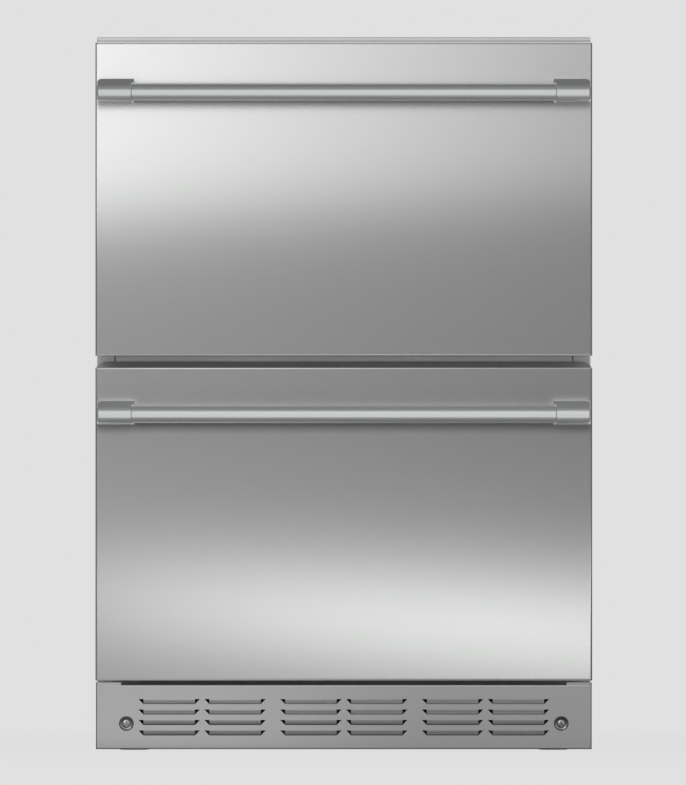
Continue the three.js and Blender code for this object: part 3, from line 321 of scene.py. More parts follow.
def cleaned(name, points, faces, merge, crease, join_flats=False, recalculate=True):
    """A mesh with its doubles merged, its faces outwards and its creases sharp."""
    mesh = bpy.data.meshes.new(name)
    mesh.from_pydata(points, [], faces)
    work = bmesh.new()
    work.from_mesh(mesh)
    bmesh.ops.remove_doubles(work, verts=work.verts, dist=merge)
    if join_flats:
        bmesh.ops.dissolve_limit(work, angle_limit=math.radians(0.5), verts=work.verts, edges=work.edges)
    else:
        bmesh.ops.dissolve_degenerate(work, edges=work.edges, dist=1e-7)
    if recalculate:
        bmesh.ops.recalc_face_normals(work, faces=work.faces)
    work.to_mesh(mesh)
    work.free()
    mesh.polygons.foreach_set("use_smooth", np.ones(len(mesh.polygons), bool))
    mesh.set_sharp_from_angle(angle=math.radians(crease))
    return mesh


def shown(name, mesh, look):
    """An object in the scene, with the finish that a look names."""
    mesh.materials.append(finish(look))
    piece = bpy.data.objects.new(name, mesh)
    bpy.context.scene.collection.objects.link(piece)
    return piece


class Form:
    """Points and faces of one piece, gathered from its surfaces."""

    def __init__(self):
        self.points, self.faces, self.count = [], [], 0

    def add(self, points, faces, flip=False):
        """Takes in a surface's points and its lists of corners."""
        points = np.asarray(points, float).reshape(-1, 3)
        order = slice(None, None, -1) if flip else slice(None)
        self.faces += [[i + self.count for i in face[order]] for face in faces]
        self.points.append(points)
        self.count += len(points)
        return self

    def sheet(self, grid, keep=None, flip=False):
        """A grid of points skinned over, apart from the cells that keep leaves out."""
        faces = grid_faces(*grid.shape[:2])
        faces = faces.reshape(-1, 4) if keep is None else faces[keep]
        return self.add(grid, faces.tolist(), flip)

    def loft(self, rings, caps=(True, True), wrap=False, skip=None, flip=False):
        """Closed rings skinned one to the next, with flat ends, leaving out the columns in skip."""
        rings = np.asarray(rings, float)
        rows, columns = rings.shape[:2]
        faces = grid_faces(rows, columns, wrap, True)
        if skip is not None:
            faces = np.delete(faces, skip, 1)
        faces = faces.reshape(-1, 4).tolist()
        if caps[0] and not wrap:
            faces.append(list(range(columns))[::-1])
        if caps[1] and not wrap:
            faces.append(list(range((rows - 1) * columns, rows * columns)))
        return self.add(rings, faces, flip)

    def turned(self, profile, centre, axis, sides=48, wrap=False):
        """A profile of (radius, distance along the axis) carried round the axis."""
        profile = np.asarray(profile, float)
        angle = np.linspace(0, FULL, sides, endpoint=False)
        flat = profile[:, :1, None] * np.stack([np.cos(angle), np.sin(angle)], -1)[None]
        rings = place(flat, profile[:, 1:2], axis) + np.asarray(centre, float)
        return self.loft(rings, (False, False), wrap)

    def piece(
        self, name, look, body, slot, replaced=None, wall=0.0, outward=False, crease=40, recalculate=True
    ):
        """The finished piece, riding on its body; a wall gives a sheet its thickness."""
        points = np.concatenate(self.points).tolist()
        piece = shown(name, cleaned(name, points, self.faces, 2e-6, crease, False, recalculate), look)
        if wall:
            solidify = piece.modifiers.new("wall", "SOLIDIFY")
            solidify.thickness = wall
            solidify.offset = 1 if outward else -1
            solidify.use_even_offset = True
            made = piece.evaluated_get(bpy.context.evaluated_depsgraph_get())
            piece.data = bpy.data.meshes.new_from_object(made)
            piece.data.set_sharp_from_angle(angle=math.radians(crease))
            piece.modifiers.clear()
        smooth = piece.modifiers.new("even shading", "WEIGHTED_NORMAL")
        smooth.keep_sharp = True
        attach(piece, body)
        if replaced:
            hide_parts(replaced)


def softened(node, look, width, segments=2, crease=40):
    """A copy of a frame node with its doubles merged, its flats joined and its edges rounded."""
    source = frame["nodes"][node]
    points = np.empty(len(source.data.vertices) * 3)
    source.data.vertices.foreach_get("co", points)
    corners = np.empty(len(source.data.loops), int)
    source.data.loops.foreach_get("vertex_index", corners)
    points, corners = points.reshape(-1, 3).tolist(), corners.reshape(-1, 3).tolist()
    piece = shown(node + "_finished", cleaned(node, points, corners, 1e-5, crease, True), look)
    if width:
        bevel = piece.modifiers.new("edge", "BEVEL")
        bevel.width = width
        bevel.segments = segments
        bevel.limit_method = "ANGLE"
        bevel.angle_limit = math.radians(crease)
        bevel.harden_normals = True
    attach(piece, source["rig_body"])
    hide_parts(node)


def coated(node, look):
    """A frame node that keeps its shape and takes a finish."""
    for material_slot in frame["nodes"][node].material_slots:
        material_slot.material = finish(look)


# ---------------------------------------------------------------- shader maths


class Wire:
    """A number in a material; arithmetic on it adds Math nodes."""

    def __init__(self, finish, socket):
        self.finish, self.socket = finish, socket

    def maths(self, operation, first, second=None):
        """A Math node of two values."""
        return self.finish.node("ShaderNodeMath", {"operation": operation}, {0: first, 1: second})

    def __add__(self, other):
        return self.maths("ADD", self, other)

    def __sub__(self, other):
        return self.maths("SUBTRACT", self, other)

    def __rsub__(self, other):
        return self.maths("SUBTRACT", other, self)

    def __mul__(self, other):
        return self.maths("MULTIPLY", self, other)

    def __truediv__(self, other):
        return self.maths("DIVIDE", self, other)

    def __rtruediv__(self, other):
        return self.maths("DIVIDE", other, self)

    __radd__ = __add__
    __rmul__ = __mul__

    def above(self, edge, blur):
        """0 below the edge and 1 above it, easing over the blur."""
        return self.finish.node(
            "ShaderNodeMapRange",
            {"interpolation_type": "SMOOTHSTEP"},
            {"Value": self, "From Min": edge - blur / 2, "From Max": edge + blur / 2},
        )

    def bell(self, middle, width):
        """exp(-((value - middle) / width) ** 2)."""
        offset = (self - middle) / width
        return self.maths("EXPONENT", offset * offset * -1.0)


class Finish:
    """A material, or the owner given, whose node tree is written as expressions."""

    def __init__(self, name, owner=None):
        self.owner = owner or bpy.data.materials.new(name)
        self.owner.use_nodes = True
        self.tree = self.owner.node_tree
        self.tree.nodes.clear()

    def node(self, kind, settings=None, sockets=None, output=0):
        """Adds a node: its settings first, then the values or links of its sockets."""
        made = self.tree.nodes.new(kind)
        for key, value in (settings or {}).items():
            setattr(made, key, value)
        for key, value in (sockets or {}).items():
            if isinstance(value, Wire):
                self.tree.links.new(value.socket, made.inputs[key])
            elif value is not None:
                made.inputs[key].default_value = value
        return Wire(self, made.outputs[output])

    def position(self, stretch=(1, 1, 1)):
        """Object coordinates, stretched."""
        flat = self.node("ShaderNodeTexCoord", output="Object")
        return self.node("ShaderNodeMapping", sockets={"Vector": flat, "Scale": stretch})

    def axis(self, letter):
        """One object coordinate."""
        flat = self.node("ShaderNodeTexCoord", output="Object")
        return self.node("ShaderNodeSeparateXYZ", sockets={0: flat}, output="xyz".index(letter))

    def noise(self, stretch, detail=2.0, roughness=0.5):
        """Cloudy noise from 0 to 1, with a pitch on each axis of one over stretch."""
        stretch = stretch if isinstance(stretch, tuple) else (stretch,) * 3
        sockets = {"Vector": self.position(stretch), "Scale": 1.0, "Detail": detail, "Roughness": roughness}
        return self.node("ShaderNodeTexNoise", sockets=sockets)

    def cells(self, stretch, output="Distance"):
        """Voronoi cells, with a pitch of one over stretch."""
        sockets = {"Vector": self.position((stretch,) * 3), "Scale": 1.0}
        return self.node("ShaderNodeTexVoronoi", sockets=sockets, output=output)

    def mix(self, factor, first, second):
        """Blend of two colours."""
        sockets = {0: factor, 6: (*first, 1) if isinstance(first, tuple) else first}
        sockets[7] = (*second, 1) if isinstance(second, tuple) else second
        return self.node("ShaderNodeMix", {"data_type": "RGBA"}, sockets, 2)

    def bump(self, height, distance, strength=1.0):
        """Normals of a height from 0 to 1, scaled to a distance in metres."""
        sockets = {"Height": height, "Distance": distance, "Strength": strength}
        return self.node("ShaderNodeBump", sockets=sockets)

    def seen(self):
        """1 or more for the camera, reflections and clear plastic, 0 for the light on matt surfaces."""
        kinds = ("Camera", "Glossy", "Transmission")
        camera, glossy, clear = (self.node("ShaderNodeLightPath", output=f"Is {kind} Ray") for kind in kinds)
        return camera + glossy + clear

    def emission(self, light):
        """Emission of a grey or of a wire."""
        light = light if isinstance(light, Wire) else (light, light, light, 1)
        return self.node("ShaderNodeEmission", sockets={"Color": light})

    def clear(self):
        """Full transparency."""
        return self.node("ShaderNodeBsdfTransparent")

    def blend(self, factor, first, second):
        """Mix of two shaders."""
        return self.node("ShaderNodeMixShader", sockets={0: factor, 1: first, 2: second})

    def output(self, shader):
        """Closes the tree with a shader and returns the material or other owner."""
        kind = "World" if isinstance(self.owner, bpy.types.World) else "Material"
        end = self.tree.nodes.new("ShaderNodeOutput" + kind)
        self.tree.links.new(shader.socket, end.inputs["Surface"])
        return self.owner

    def surface(self, **sockets):
        """Closes the tree with a Principled shader; keywords name its sockets with underscores."""
        named = {key.replace("_", " "): value for key, value in sockets.items()}
        return self.output(self.node("ShaderNodeBsdfPrincipled", sockets=named))


def scaled(colour, factor):
    """A colour times a number, kept under 1."""
    return tuple(min(channel * factor, 1.0) for channel in colour)


# ---------------------------------------------------------------- finishes


def brushed_steel(name, colour, roughness, grain, grain_length, metallic=1.0, edge=0.0, foot=0.0, head=1.0):
    """Steel with brushing lines along X: two widths of long thin noise shade it and roughen it.

    Painted shade: past the edge, a distance to both sides, below the foot's height and,
    less so, above the head's, the colour is darkened where the folded metal would lie in shade.
    """
    finish = Finish(name)
    fine = finish.noise((1 / grain_length, 1 / grain, 1 / grain), 3.0, 0.6)
    broad = finish.noise((0.4 / grain_length, 0.16 / grain, 0.16 / grain))
    cloud = finish.noise(2.2)
    lines = fine * 0.7 + broad * 0.3
    steel = finish.mix(lines, scaled(colour, 0.975), scaled(colour, 1.025))
    # painted shade along the folded sides and the lower and upper edges
    if edge:
        x, z = finish.axis("x"), finish.axis("z")
        painted_side_shade = x.maths("ABSOLUTE", x).above(edge, 0.8 * MM)
        below = 1 - z.above(foot, 0.8 * MM)
        folded = z.maths("MAXIMUM", below, z.above(head, 0.6 * MM) * 0.45)
        steel = finish.mix(z.maths("MAXIMUM", painted_side_shade, folded), steel, scaled(colour, 0.3))
    return finish.surface(
        Base_Color=steel,
        Metallic=metallic,
        Roughness=(lines - 0.5) * 0.06 + (cloud - 0.5) * 0.02 + roughness,
        Normal=finish.bump(lines, 0.006 * MM, 0.3),
    )


def louvre_steel(name, colour, roughness):
    """Pressed steel with painted shade: the colour darkens down each louvre and a little from row to row."""
    finish = Finish(name)
    grille = bpy.context.scene.fridge_grille
    z = finish.axis("z")
    rows = (grille.top + low_high("toe_grille")[0][2] - z) / grille.pitch
    down = rows - rows.maths("FLOOR", rows)
    streaks = finish.noise((8, 900, 900), 3.0)
    # painted shade: darker down each louvre, and the lower rows a little darker
    painted_shade_down_louvre, painted_shade_row_to_row = 1.05 - down * 1.1, z * 6 + 0.62
    tone = painted_shade_down_louvre * painted_shade_row_to_row + (streaks - 0.5) * 0.08
    return finish.surface(
        Base_Color=finish.mix(tone, scaled(colour, 0.08), colour),
        Metallic=0.85,
        Roughness=streaks * 0.06 + roughness,
    )


def sheet_steel(name, colour, roughness, painted_fold_height=0.0):
    """Mill-finished sheet: faint rolling streaks, slight clouding, and at the given height a painted fold
    line.

    No fold is modelled: a painted highlight line under a painted shade line stands for it, on the front
    alone.
    """
    finish = Finish(name)
    streaks = finish.noise((60, 60, 3), 3.0, 0.6)
    cloud = finish.noise(7, 3.0)
    steel = finish.mix(streaks, scaled(colour, 0.96), scaled(colour, 1.04))
    # painted shade line over a painted highlight line, where a fold would catch and lose the light
    if painted_fold_height:
        z, facing = finish.axis("z"), 1 - finish.axis("y").above(-210 * MM, 1 * MM)
        dark, light = z.bell(painted_fold_height + 1.4 * MM, 0.8 * MM), z.bell(painted_fold_height - 0.1 * MM, 0.9 * MM)
        steel = finish.mix(dark * facing * 0.8, steel, scaled(colour, 0.3))
        steel = finish.mix(light * facing, steel, scaled(colour, 1.45))
    return finish.surface(
        Base_Color=steel,
        Metallic=1.0,
        Roughness=(cloud - 0.5) * 0.14 + roughness,
        Normal=finish.bump(streaks, 0.03 * MM, 0.2),
    )


def spangled_zinc(name, colour):
    """Galvanised sheet: crystal cells of slightly different grey and gloss."""
    finish = Finish(name)
    cells = [finish.cells(stretch, "Color") for stretch in (95, 38)]
    tone, wide = (finish.node("ShaderNodeSeparateColor", sockets={0: cell}) for cell in cells)
    shade = tone * 0.6 + wide * 0.4
    return finish.surface(
        Base_Color=finish.mix(shade, scaled(colour, 0.84), scaled(colour, 1.12)),
        Metallic=0.9,
        Roughness=shade * 0.16 + 0.36,
        Normal=finish.bump(tone, 0.04 * MM, 0.25),
    )


def moulded_plastic(name, colour, roughness=0.42, grain=1.2 * MM):
    """Moulded plastic with a fine pebbled texture and faint clouding of its colour."""
    finish = Finish(name)
    pebbles = finish.noise(1 / grain)
    return finish.surface(
        Base_Color=finish.mix(finish.noise(9), scaled(colour, 0.96), scaled(colour, 1.03)),
        Roughness=(pebbles - 0.5) * 0.12 + roughness,
        Normal=finish.bump(pebbles, 0.06 * MM, 0.3),
    )


def gasket_rubber(name, clean, dusty):
    """Soft grey vinyl, a little dusty."""
    finish = Finish(name)
    dust = finish.noise(160, 3.0)
    return finish.surface(
        Base_Color=finish.mix(dust, clean, dusty),
        Roughness=dust * 0.2 + 0.52,
        Normal=finish.bump(dust, 0.05 * MM, 0.3),
    )


def painted_steel(name, colour):
    """Gloss paint with orange peel."""
    finish = Finish(name)
    peel = finish.noise(420, 1.0)
    return finish.surface(
        Base_Color=finish.mix(finish.noise(12), scaled(colour, 0.85), scaled(colour, 1.2)),
        Roughness=(peel - 0.5) * 0.1 + 0.38,
        Coat_Weight=0.2,
        Normal=finish.bump(peel, 0.06 * MM, 0.3),
    )


def drawn_copper(name, bright, tarnished):
    """Copper tube with brown tarnish in patches."""
    finish = Finish(name)
    tarnish = finish.noise(45, 4.0).above(0.52, 0.3)
    return finish.surface(
        Base_Color=finish.mix(tarnish, bright, tarnished),
        Metallic=1.0,
        Roughness=tarnish * 0.25 + 0.25,
    )


def foamed_insulation(name, shaded_hollow, raised):
    """Poured foam with open cells; the cell hollows are painted darker than the raised walls: painted shade.
    """
    finish = Finish(name)
    cells = finish.cells(420)
    return finish.surface(
        Base_Color=finish.mix(cells, shaded_hollow, raised),
        Roughness=0.9,
        Normal=finish.bump(cells, 0.3 * MM, 0.6),
    )


def clear_plastic(name, colour):
    """Clear divider plastic with a slight haze."""
    finish = Finish(name)
    return finish.surface(
        Base_Color=(*colour, 1),
        Roughness=finish.noise(30, 3.0) * 0.1 + 0.04,
        IOR=1.49,
        Transmission_Weight=0.92,
    )


def lit_plastic(name, colour, strength):
    """Diffuser plastic lit from inside."""
    finish = Finish(name)
    finish.owner.cycles.emission_sampling = "NONE"
    return finish.surface(
        Base_Color=finish.mix(finish.noise(60), scaled(colour, 0.95), scaled(colour, 1.0)),
        Roughness=0.45,
        Emission_Color=(*colour, 1),
        Emission_Strength=strength,
    )


FINISHES = {}


def finish(look):
    """The finish that a look names, made when it is first asked for."""
    metals = bpy.context.scene.fridge_metals
    front, handle, cabinet = tuple(metals.front), tuple(metals.handle), tuple(metals.cabinet)
    grain, length = metals.grain, metals.grain_length
    brushed = front, metals.front_roughness, grain, length, 0.85
    top = low_high("upper_front_skin")[1][2]
    # Painted shade darkens the fronts past front_edge and above front_head, and the grille past grille_edge
    # and below grille_foot.
    front_edge, front_head, wrapper_painted_fold = 299.8 * MM, top - 1.9 * MM, top + 1.1 * MM
    grille_edge, grille_foot = 299.6 * MM, 3.2 * MM
    makers = {
        "front": (brushed_steel, "brushed front steel", *brushed, front_edge, 0.0, front_head),
        "grille": (brushed_steel, "brushed grille steel", *brushed, grille_edge, grille_foot),
        "blade": (louvre_steel, "louvre steel", front, metals.front_roughness),
        "handle": (brushed_steel, "satin handle steel", handle, metals.handle_roughness, grain / 2, length),
        "cabinet": (sheet_steel, "cabinet steel", cabinet, 0.36),
        # painted fold line: a painted highlight under a painted shade line on the wrapper's front strip
        "wrapper": (sheet_steel, "wrapper steel", cabinet, 0.36, wrapper_painted_fold),
        "bin": (sheet_steel, "bin steel", cabinet, 0.3),
        "zinc": (spangled_zinc, "galvanised steel", tuple(metals.galvanised)),
        "liner": (moulded_plastic, "liner plastic", (0.72, 0.735, 0.73)),
        "dark": (moulded_plastic, "dark plastic", (0.035, 0.037, 0.04), 0.45),
        "panel": (moulded_plastic, "inner panel plastic", (0.66, 0.67, 0.67), 0.4),
        "gasket": (gasket_rubber, "gasket rubber", (0.26, 0.264, 0.268), (0.34, 0.344, 0.348)),
        "black": (painted_steel, "black paint", (0.022, 0.022, 0.024)),
        "copper": (drawn_copper, "drawn copper", (0.72, 0.36, 0.21), (0.34, 0.17, 0.10)),
        # painted shade: copper darkened far below its own colour so the coil behind the grille reads as in
        # shade; the tarnish patches are its own
        "aged copper": (drawn_copper, "aged copper", (0.13, 0.085, 0.065), (0.05, 0.036, 0.03)),
        "aluminium": (sheet_steel, "aluminium", (0.74, 0.75, 0.77), 0.34),
        "screw": (sheet_steel, "screw steel", (0.62, 0.62, 0.61), 0.24),
        # painted light: the grille screws' steel is brighter than the other screw steel so the heads in
        # their cups read lit
        "dull screw": (sheet_steel, "dull screw steel", (0.88, 0.88, 0.87), 0.3),
        # painted shade: darker steel for the cups round the grille screws
        "recess": (sheet_steel, "shaded steel", (0.36, 0.36, 0.36), 0.4),
        "foam": (foamed_insulation, "insulation foam", (0.62, 0.54, 0.33), (0.80, 0.72, 0.48)),
        "clear": (clear_plastic, "clear plastic", (0.86, 0.91, 0.92)),
        "key": (lit_plastic, "key plastic", (0.72, 0.76, 0.78), 0.25),
        "light": (lit_plastic, "light diffuser", (0.95, 0.97, 1.0), 1.4),
        "glass": (moulded_plastic, "display glass", (0.008, 0.009, 0.011), 0.08, 10 * MM),
    }
    if look not in FINISHES:
        make, *given = makers[look]
        FINISHES[look] = make(*given)
    return FINISHES[look]


# ---------------------------------------------------------------- pieces


class FRIDGE_OT_cabinet(bpy.types.Operator):
    """Folded wrapper, ribbed back panel, base pan, cross rail and foam"""

    bl_idname = "fridge.cabinet"
    bl_label = "Cabinet"

    def execute(self, context):
        self.wrapper()
        self.rail_strip()
        self.gap_seal()
        self.back_panel()
        self.back_screws()
        softened("base_pan", "zinc", 0.4 * MM)
        softened("cross_rail", "cabinet", 1 * MM, 3)
        for node in ("foam_insulation", "upper_front_core", "lower_front_core"):
            coated(node, "foam")
        return {"FINISHED"}

    def wrapper(self):
        """Sides and top of one sheet, open below, with a flange turned in round the front."""
        sheet, bend, flange = 1 * MM, 1.5 * MM, 22 * MM
        low, high = low_high("outer_wrapper")
        front = low[1]
        levels = [(0, high[1]), (0, front + 4 * bend)]
        levels += [*(quarter(bend, "in") + (0, front)), *(quarter(bend, "out") * (-1, 1) + (flange, front))]
        levels += [(flange, front + 8 * MM)]
        rings = stacked(from_front(low, high), (0, 0, bend, bend), levels, 6, 0)
        shell = Form().loft(rings, (False, False), skip=strip_of(0))
        slot, node = "cabinet_steel", "outer_wrapper"
        shell.piece("cabinet_wrapper", "wrapper", "cabinet", slot, node, sheet, recalculate=False)

    def gap_seal(self):
        """Rubber seal over the cabinet's lower front edge, seen through the gap over the grille."""
        low, high = low_high("inner_liner")
        gasket_foot, face = low_high("lower_gasket")[0][2], low[1] - 0.1 * MM
        outline = rectangle(low[0], low[2] - 12 * MM, high[0], gasket_foot - 1.5 * MM)
        levels = ((0, face), (0, face - 2 * MM), (1 * MM, face - 3 * MM))
        seal = Form().loft(stacked(outline, 2 * MM, levels, 3))
        seal.piece("lower_gap_seal", "gasket", "cabinet", "gasket_rubber")

    def rail_strip(self):
        """Steel strip over the rail's middle and the liner's edges, between the two gaskets."""
        low, high = low_high("inner_liner")
        foot, head = low_high("lower_gasket")[1][2] + 1 * MM, low_high("upper_gasket")[0][2] - 1 * MM
        outline, face = rectangle(low[0] + 0.5 * MM, foot, high[0] - 0.5 * MM, head), low[1]
        levels = ((0, face), (0, face - 1.3 * MM), (0.3 * MM, face - 1.6 * MM), (1 * MM, face - 1.7 * MM))
        strip = Form().loft(stacked(outline, 1 * MM, levels, 3))
        strip.piece("rail_strip", "cabinet", "cabinet", "cabinet_steel")

    def back_panel(self):
        """Back sheet as a height over (x, z): two pressed ribs, each along a rounded rectangle."""
        low, high = low_high("back_panel")
        inlet_low, inlet_high = low_high("power_inlet")
        pitch, margin, sheet = 4 * MM, 1 * MM, 0.8 * MM
        rib_at, rib_half, rib_corner, rib_width, rib_depth = 170 * MM, 70 * MM, 30 * MM, 6 * MM, 0.45 * MM
        middle_z, half_z = 560 * MM, 240 * MM
        x = np.linspace(low[0], high[0], round((high[0] - low[0]) / pitch) + 1)
        z = np.linspace(low[2], high[2], round((high[2] - low[2]) / pitch) + 1)
        grid_x, grid_z = np.meshgrid(x, z)
        rib = np.zeros_like(grid_x)
        along = np.maximum(np.abs(grid_z - middle_z) - half_z + rib_corner, 0)
        for at in (-rib_at, rib_at):
            across = np.maximum(np.abs(grid_x - at) - rib_half + rib_corner, 0)
            distance = np.abs(np.hypot(across, along) - rib_corner)
            rib = np.maximum(rib, np.clip(1.4 - distance / rib_width, 0, 1))
        rib = rib * rib * (3 - 2 * rib)
        points = np.stack([grid_x, high[1] - rib_depth * rib, grid_z], -1)
        cell_x, cell_z = np.meshgrid((x[1:] + x[:-1]) / 2, (z[1:] + z[:-1]) / 2)
        inlet = (cell_x > inlet_low[0] + margin) & (cell_x < inlet_high[0] - margin)
        inlet &= (cell_z > inlet_low[2] + margin) & (cell_z < inlet_high[2] - margin)
        panel = Form().sheet(points, keep=~inlet, flip=True)
        name, slot, node = "ribbed_back_panel", "galvanised_steel", "back_panel"
        panel.piece(name, "zinc", "cabinet", slot, node, sheet, recalculate=False)

    def back_screws(self):
        """Low domed heads up both edges of the back panel and along its top."""
        low, high = low_high("back_panel")
        edge, radius, height = 8 * MM, 3.6 * MM, 1.2 * MM
        side_rows = np.linspace(low[2] + 30 * MM, high[2] - 20 * MM, 6)
        places = [(x, z) for z in side_rows for x in (low[0] + edge, high[0] - edge)]
        places += [(x, high[2] - edge) for x in np.linspace(low[0] + 100 * MM, high[0] - 100 * MM, 4)]
        screws = Form()
        for x, z in places:
            screws.turned(dome(radius, height), (x, high[1] - 0.2 * MM, z), "y", 16)
        screws.piece("back_panel_screws", "screw", "cabinet", "screw_steel")


class FRIDGE_OT_feet(bpy.types.Operator):
    """Levelling feet: stepped pads on threaded studs"""

    bl_idname = "fridge.feet"
    bl_label = "Levelling feet"

    def execute(self, context):
        stud, pad, thread_pitch, thread_depth = 5 * MM, 9 * MM, 0.75 * MM, 0.45 * MM
        for where in ("front_left", "front_right", "rear_left", "rear_right"):
            node = "foot_" + where
            low, high = low_high(node)
            centre = ((low[0] + high[0]) / 2, (low[1] + high[1]) / 2, low[2])
            radius, top = (high[0] - low[0]) / 2, high[2] - low[2]
            profile = [(0, 0), (radius - 2.2 * MM, 0), (radius - 0.6 * MM, 0.7 * MM), (radius, 2.2 * MM)]
            profile += [(radius, 5.6 * MM), (radius - 1 * MM, 6.8 * MM), (radius - 5 * MM, pad - 0.3 * MM)]
            profile += [(9 * MM, pad), (8.6 * MM, pad), (stud, pad)]
            turns = np.arange(pad + 0.8 * MM, top - 1.5 * MM, thread_pitch)
            profile += zip(stud - np.where(np.arange(len(turns)) % 2, thread_depth, 0), turns)
            profile += [(stud - 1 * MM, top), (0, top)]
            foot = Form().turned(profile, centre, "z", 40)
            foot.piece("levelling_" + node, "dark", node, "dark_plastic", node, crease=30)
        return {"FINISHED"}


class FRIDGE_OT_drawer_fronts(bpy.types.Operator):
    """Folded steel fronts, their inner panels and gaskets"""

    bl_idname = "fridge.drawer_fronts"
    bl_label = "Drawer fronts"

    def execute(self, context):
        settings = context.scene.fridge_fronts
        for drawer in DRAWERS:
            body = "drawer_" + drawer
            self.front_skin(settings, drawer, body)
            self.inner_panel(settings, drawer, body)
            self.gasket(drawer, body)
        # a dark strip standing in for the shade in the gap between the drawers
        self.gap_shade_strip(settings)
        return {"FINISHED"}

    def gap_shade_strip(self, settings):
        """Grey rubber strip standing up along the lower front's top edge: a dark piece that stands in for
        the band of shade in the gap between the drawers.
        """
        _, high = low_high("lower_front_skin")
        base, end, back = high[2] - 0.2 * MM, settings.strip_end, high[1]
        rise = settings.strip_rise + 0.2 * MM
        angle = np.linspace(0, QUARTER, 12)
        rounded = np.stack([high[0] - 1 * MM - end * (1 - np.cos(angle)), base + rise * np.sin(angle)], -1)
        outline = np.concatenate([rounded, rounded[::-1] * (-1, 1)])
        middle = np.array([0, base])
        levels = [(0.97, back - 9 * MM), (1, back - 8.4 * MM), (1, back - 3 * MM)]
        strip = Form().loft([place((outline - middle) * (1, part) + middle, y, "y") for part, y in levels])
        strip.piece("lower_front_shade_strip", "gasket", "drawer_lower", "gasket_rubber")

    def front_skin(self, settings, drawer, body):
        """Rings of the face's outline: back lip, back bend, side, face bend and flat face."""
        node = drawer + "_front_skin"
        low, high = low_high(node)
        (_, face, _), (_, back, _) = low, high
        back_bend, face_bend = settings.back_bend, settings.face_bend
        levels = [(settings.lip, back), (2 * back_bend, back)]
        levels += [*(quarter(back_bend, "out") * (1, -1) + (0, back))]
        levels += [(0, back - 3 * back_bend), (0, face + 2 * face_bend)]
        levels += [*(quarter(face_bend, "in", 8) + (0, face)), (face_bend + 1 * MM, face)]
        skin = Form().loft(stacked(from_front(low, high), settings.corner, levels, 4), (False, True))
        skin.piece(drawer + "_front", "front", body, "brushed_steel", node, settings.sheet)

    def inner_panel(self, settings, drawer, body):
        """Back cover of the front: a sheet with a rounded field pressed up from it."""
        node = drawer + "_inner_panel"
        low, high = low_high(node)
        corners, back = from_front(low, high), high[1]
        margin, rise = settings.panel_margin, settings.panel_rise
        edge = [(0, low[1]), (0, back - 0.4 * MM), (0.4 * MM, back)]
        field = [(0, 0), (1 * MM, 0.3), (3 * MM, 0.85), (4.5 * MM, 1), (6 * MM, 1)]
        field = [(margin + inset, back + rise * part) for inset, part in field]
        rings = stacked(corners, 3 * MM, edge) + stacked(corners, settings.panel_corner + margin, field)
        Form().loft(rings).piece(drawer + "_front_back_cover", "panel", body, "liner_plastic", node)

    def gasket(self, drawer, body):
        """Bellows profile of (inset, depth) in millimetres, carried round the front's outline."""
        node = drawer + "_gasket"
        low, high = low_high(node)
        front, back, profile_depth = low[1], high[1], 11.4
        profile = [(0.6, 0), (0, 0.6), (0, 3.4), (0.5, 4.0), (3.0, 4.6), (3.2, 5.4), (3.0, 6.2), (0.5, 6.8)]
        profile += [(0, 7.4), (0, 10.2), (0.4, 11.0), (1.2, 11.4), (7.6, 11.4), (8.0, 11.0), (8.4, 11.4)]
        profile += [(14.8, 11.4), (15.7, 10.9), (16, 10.0), (15.4, 8.2), (14.2, 6.2), (14.6, 3.0), (15.2, 0)]
        levels = np.array(profile) * (MM, (back - front) / profile_depth) + (0, front)
        bellows = Form().loft(stacked(from_front(low, high), 1.5 * MM, levels, 4), wrap=True)
        bellows.piece(drawer + "_bellows_gasket", "gasket", body, "gasket_rubber", node, crease=50)


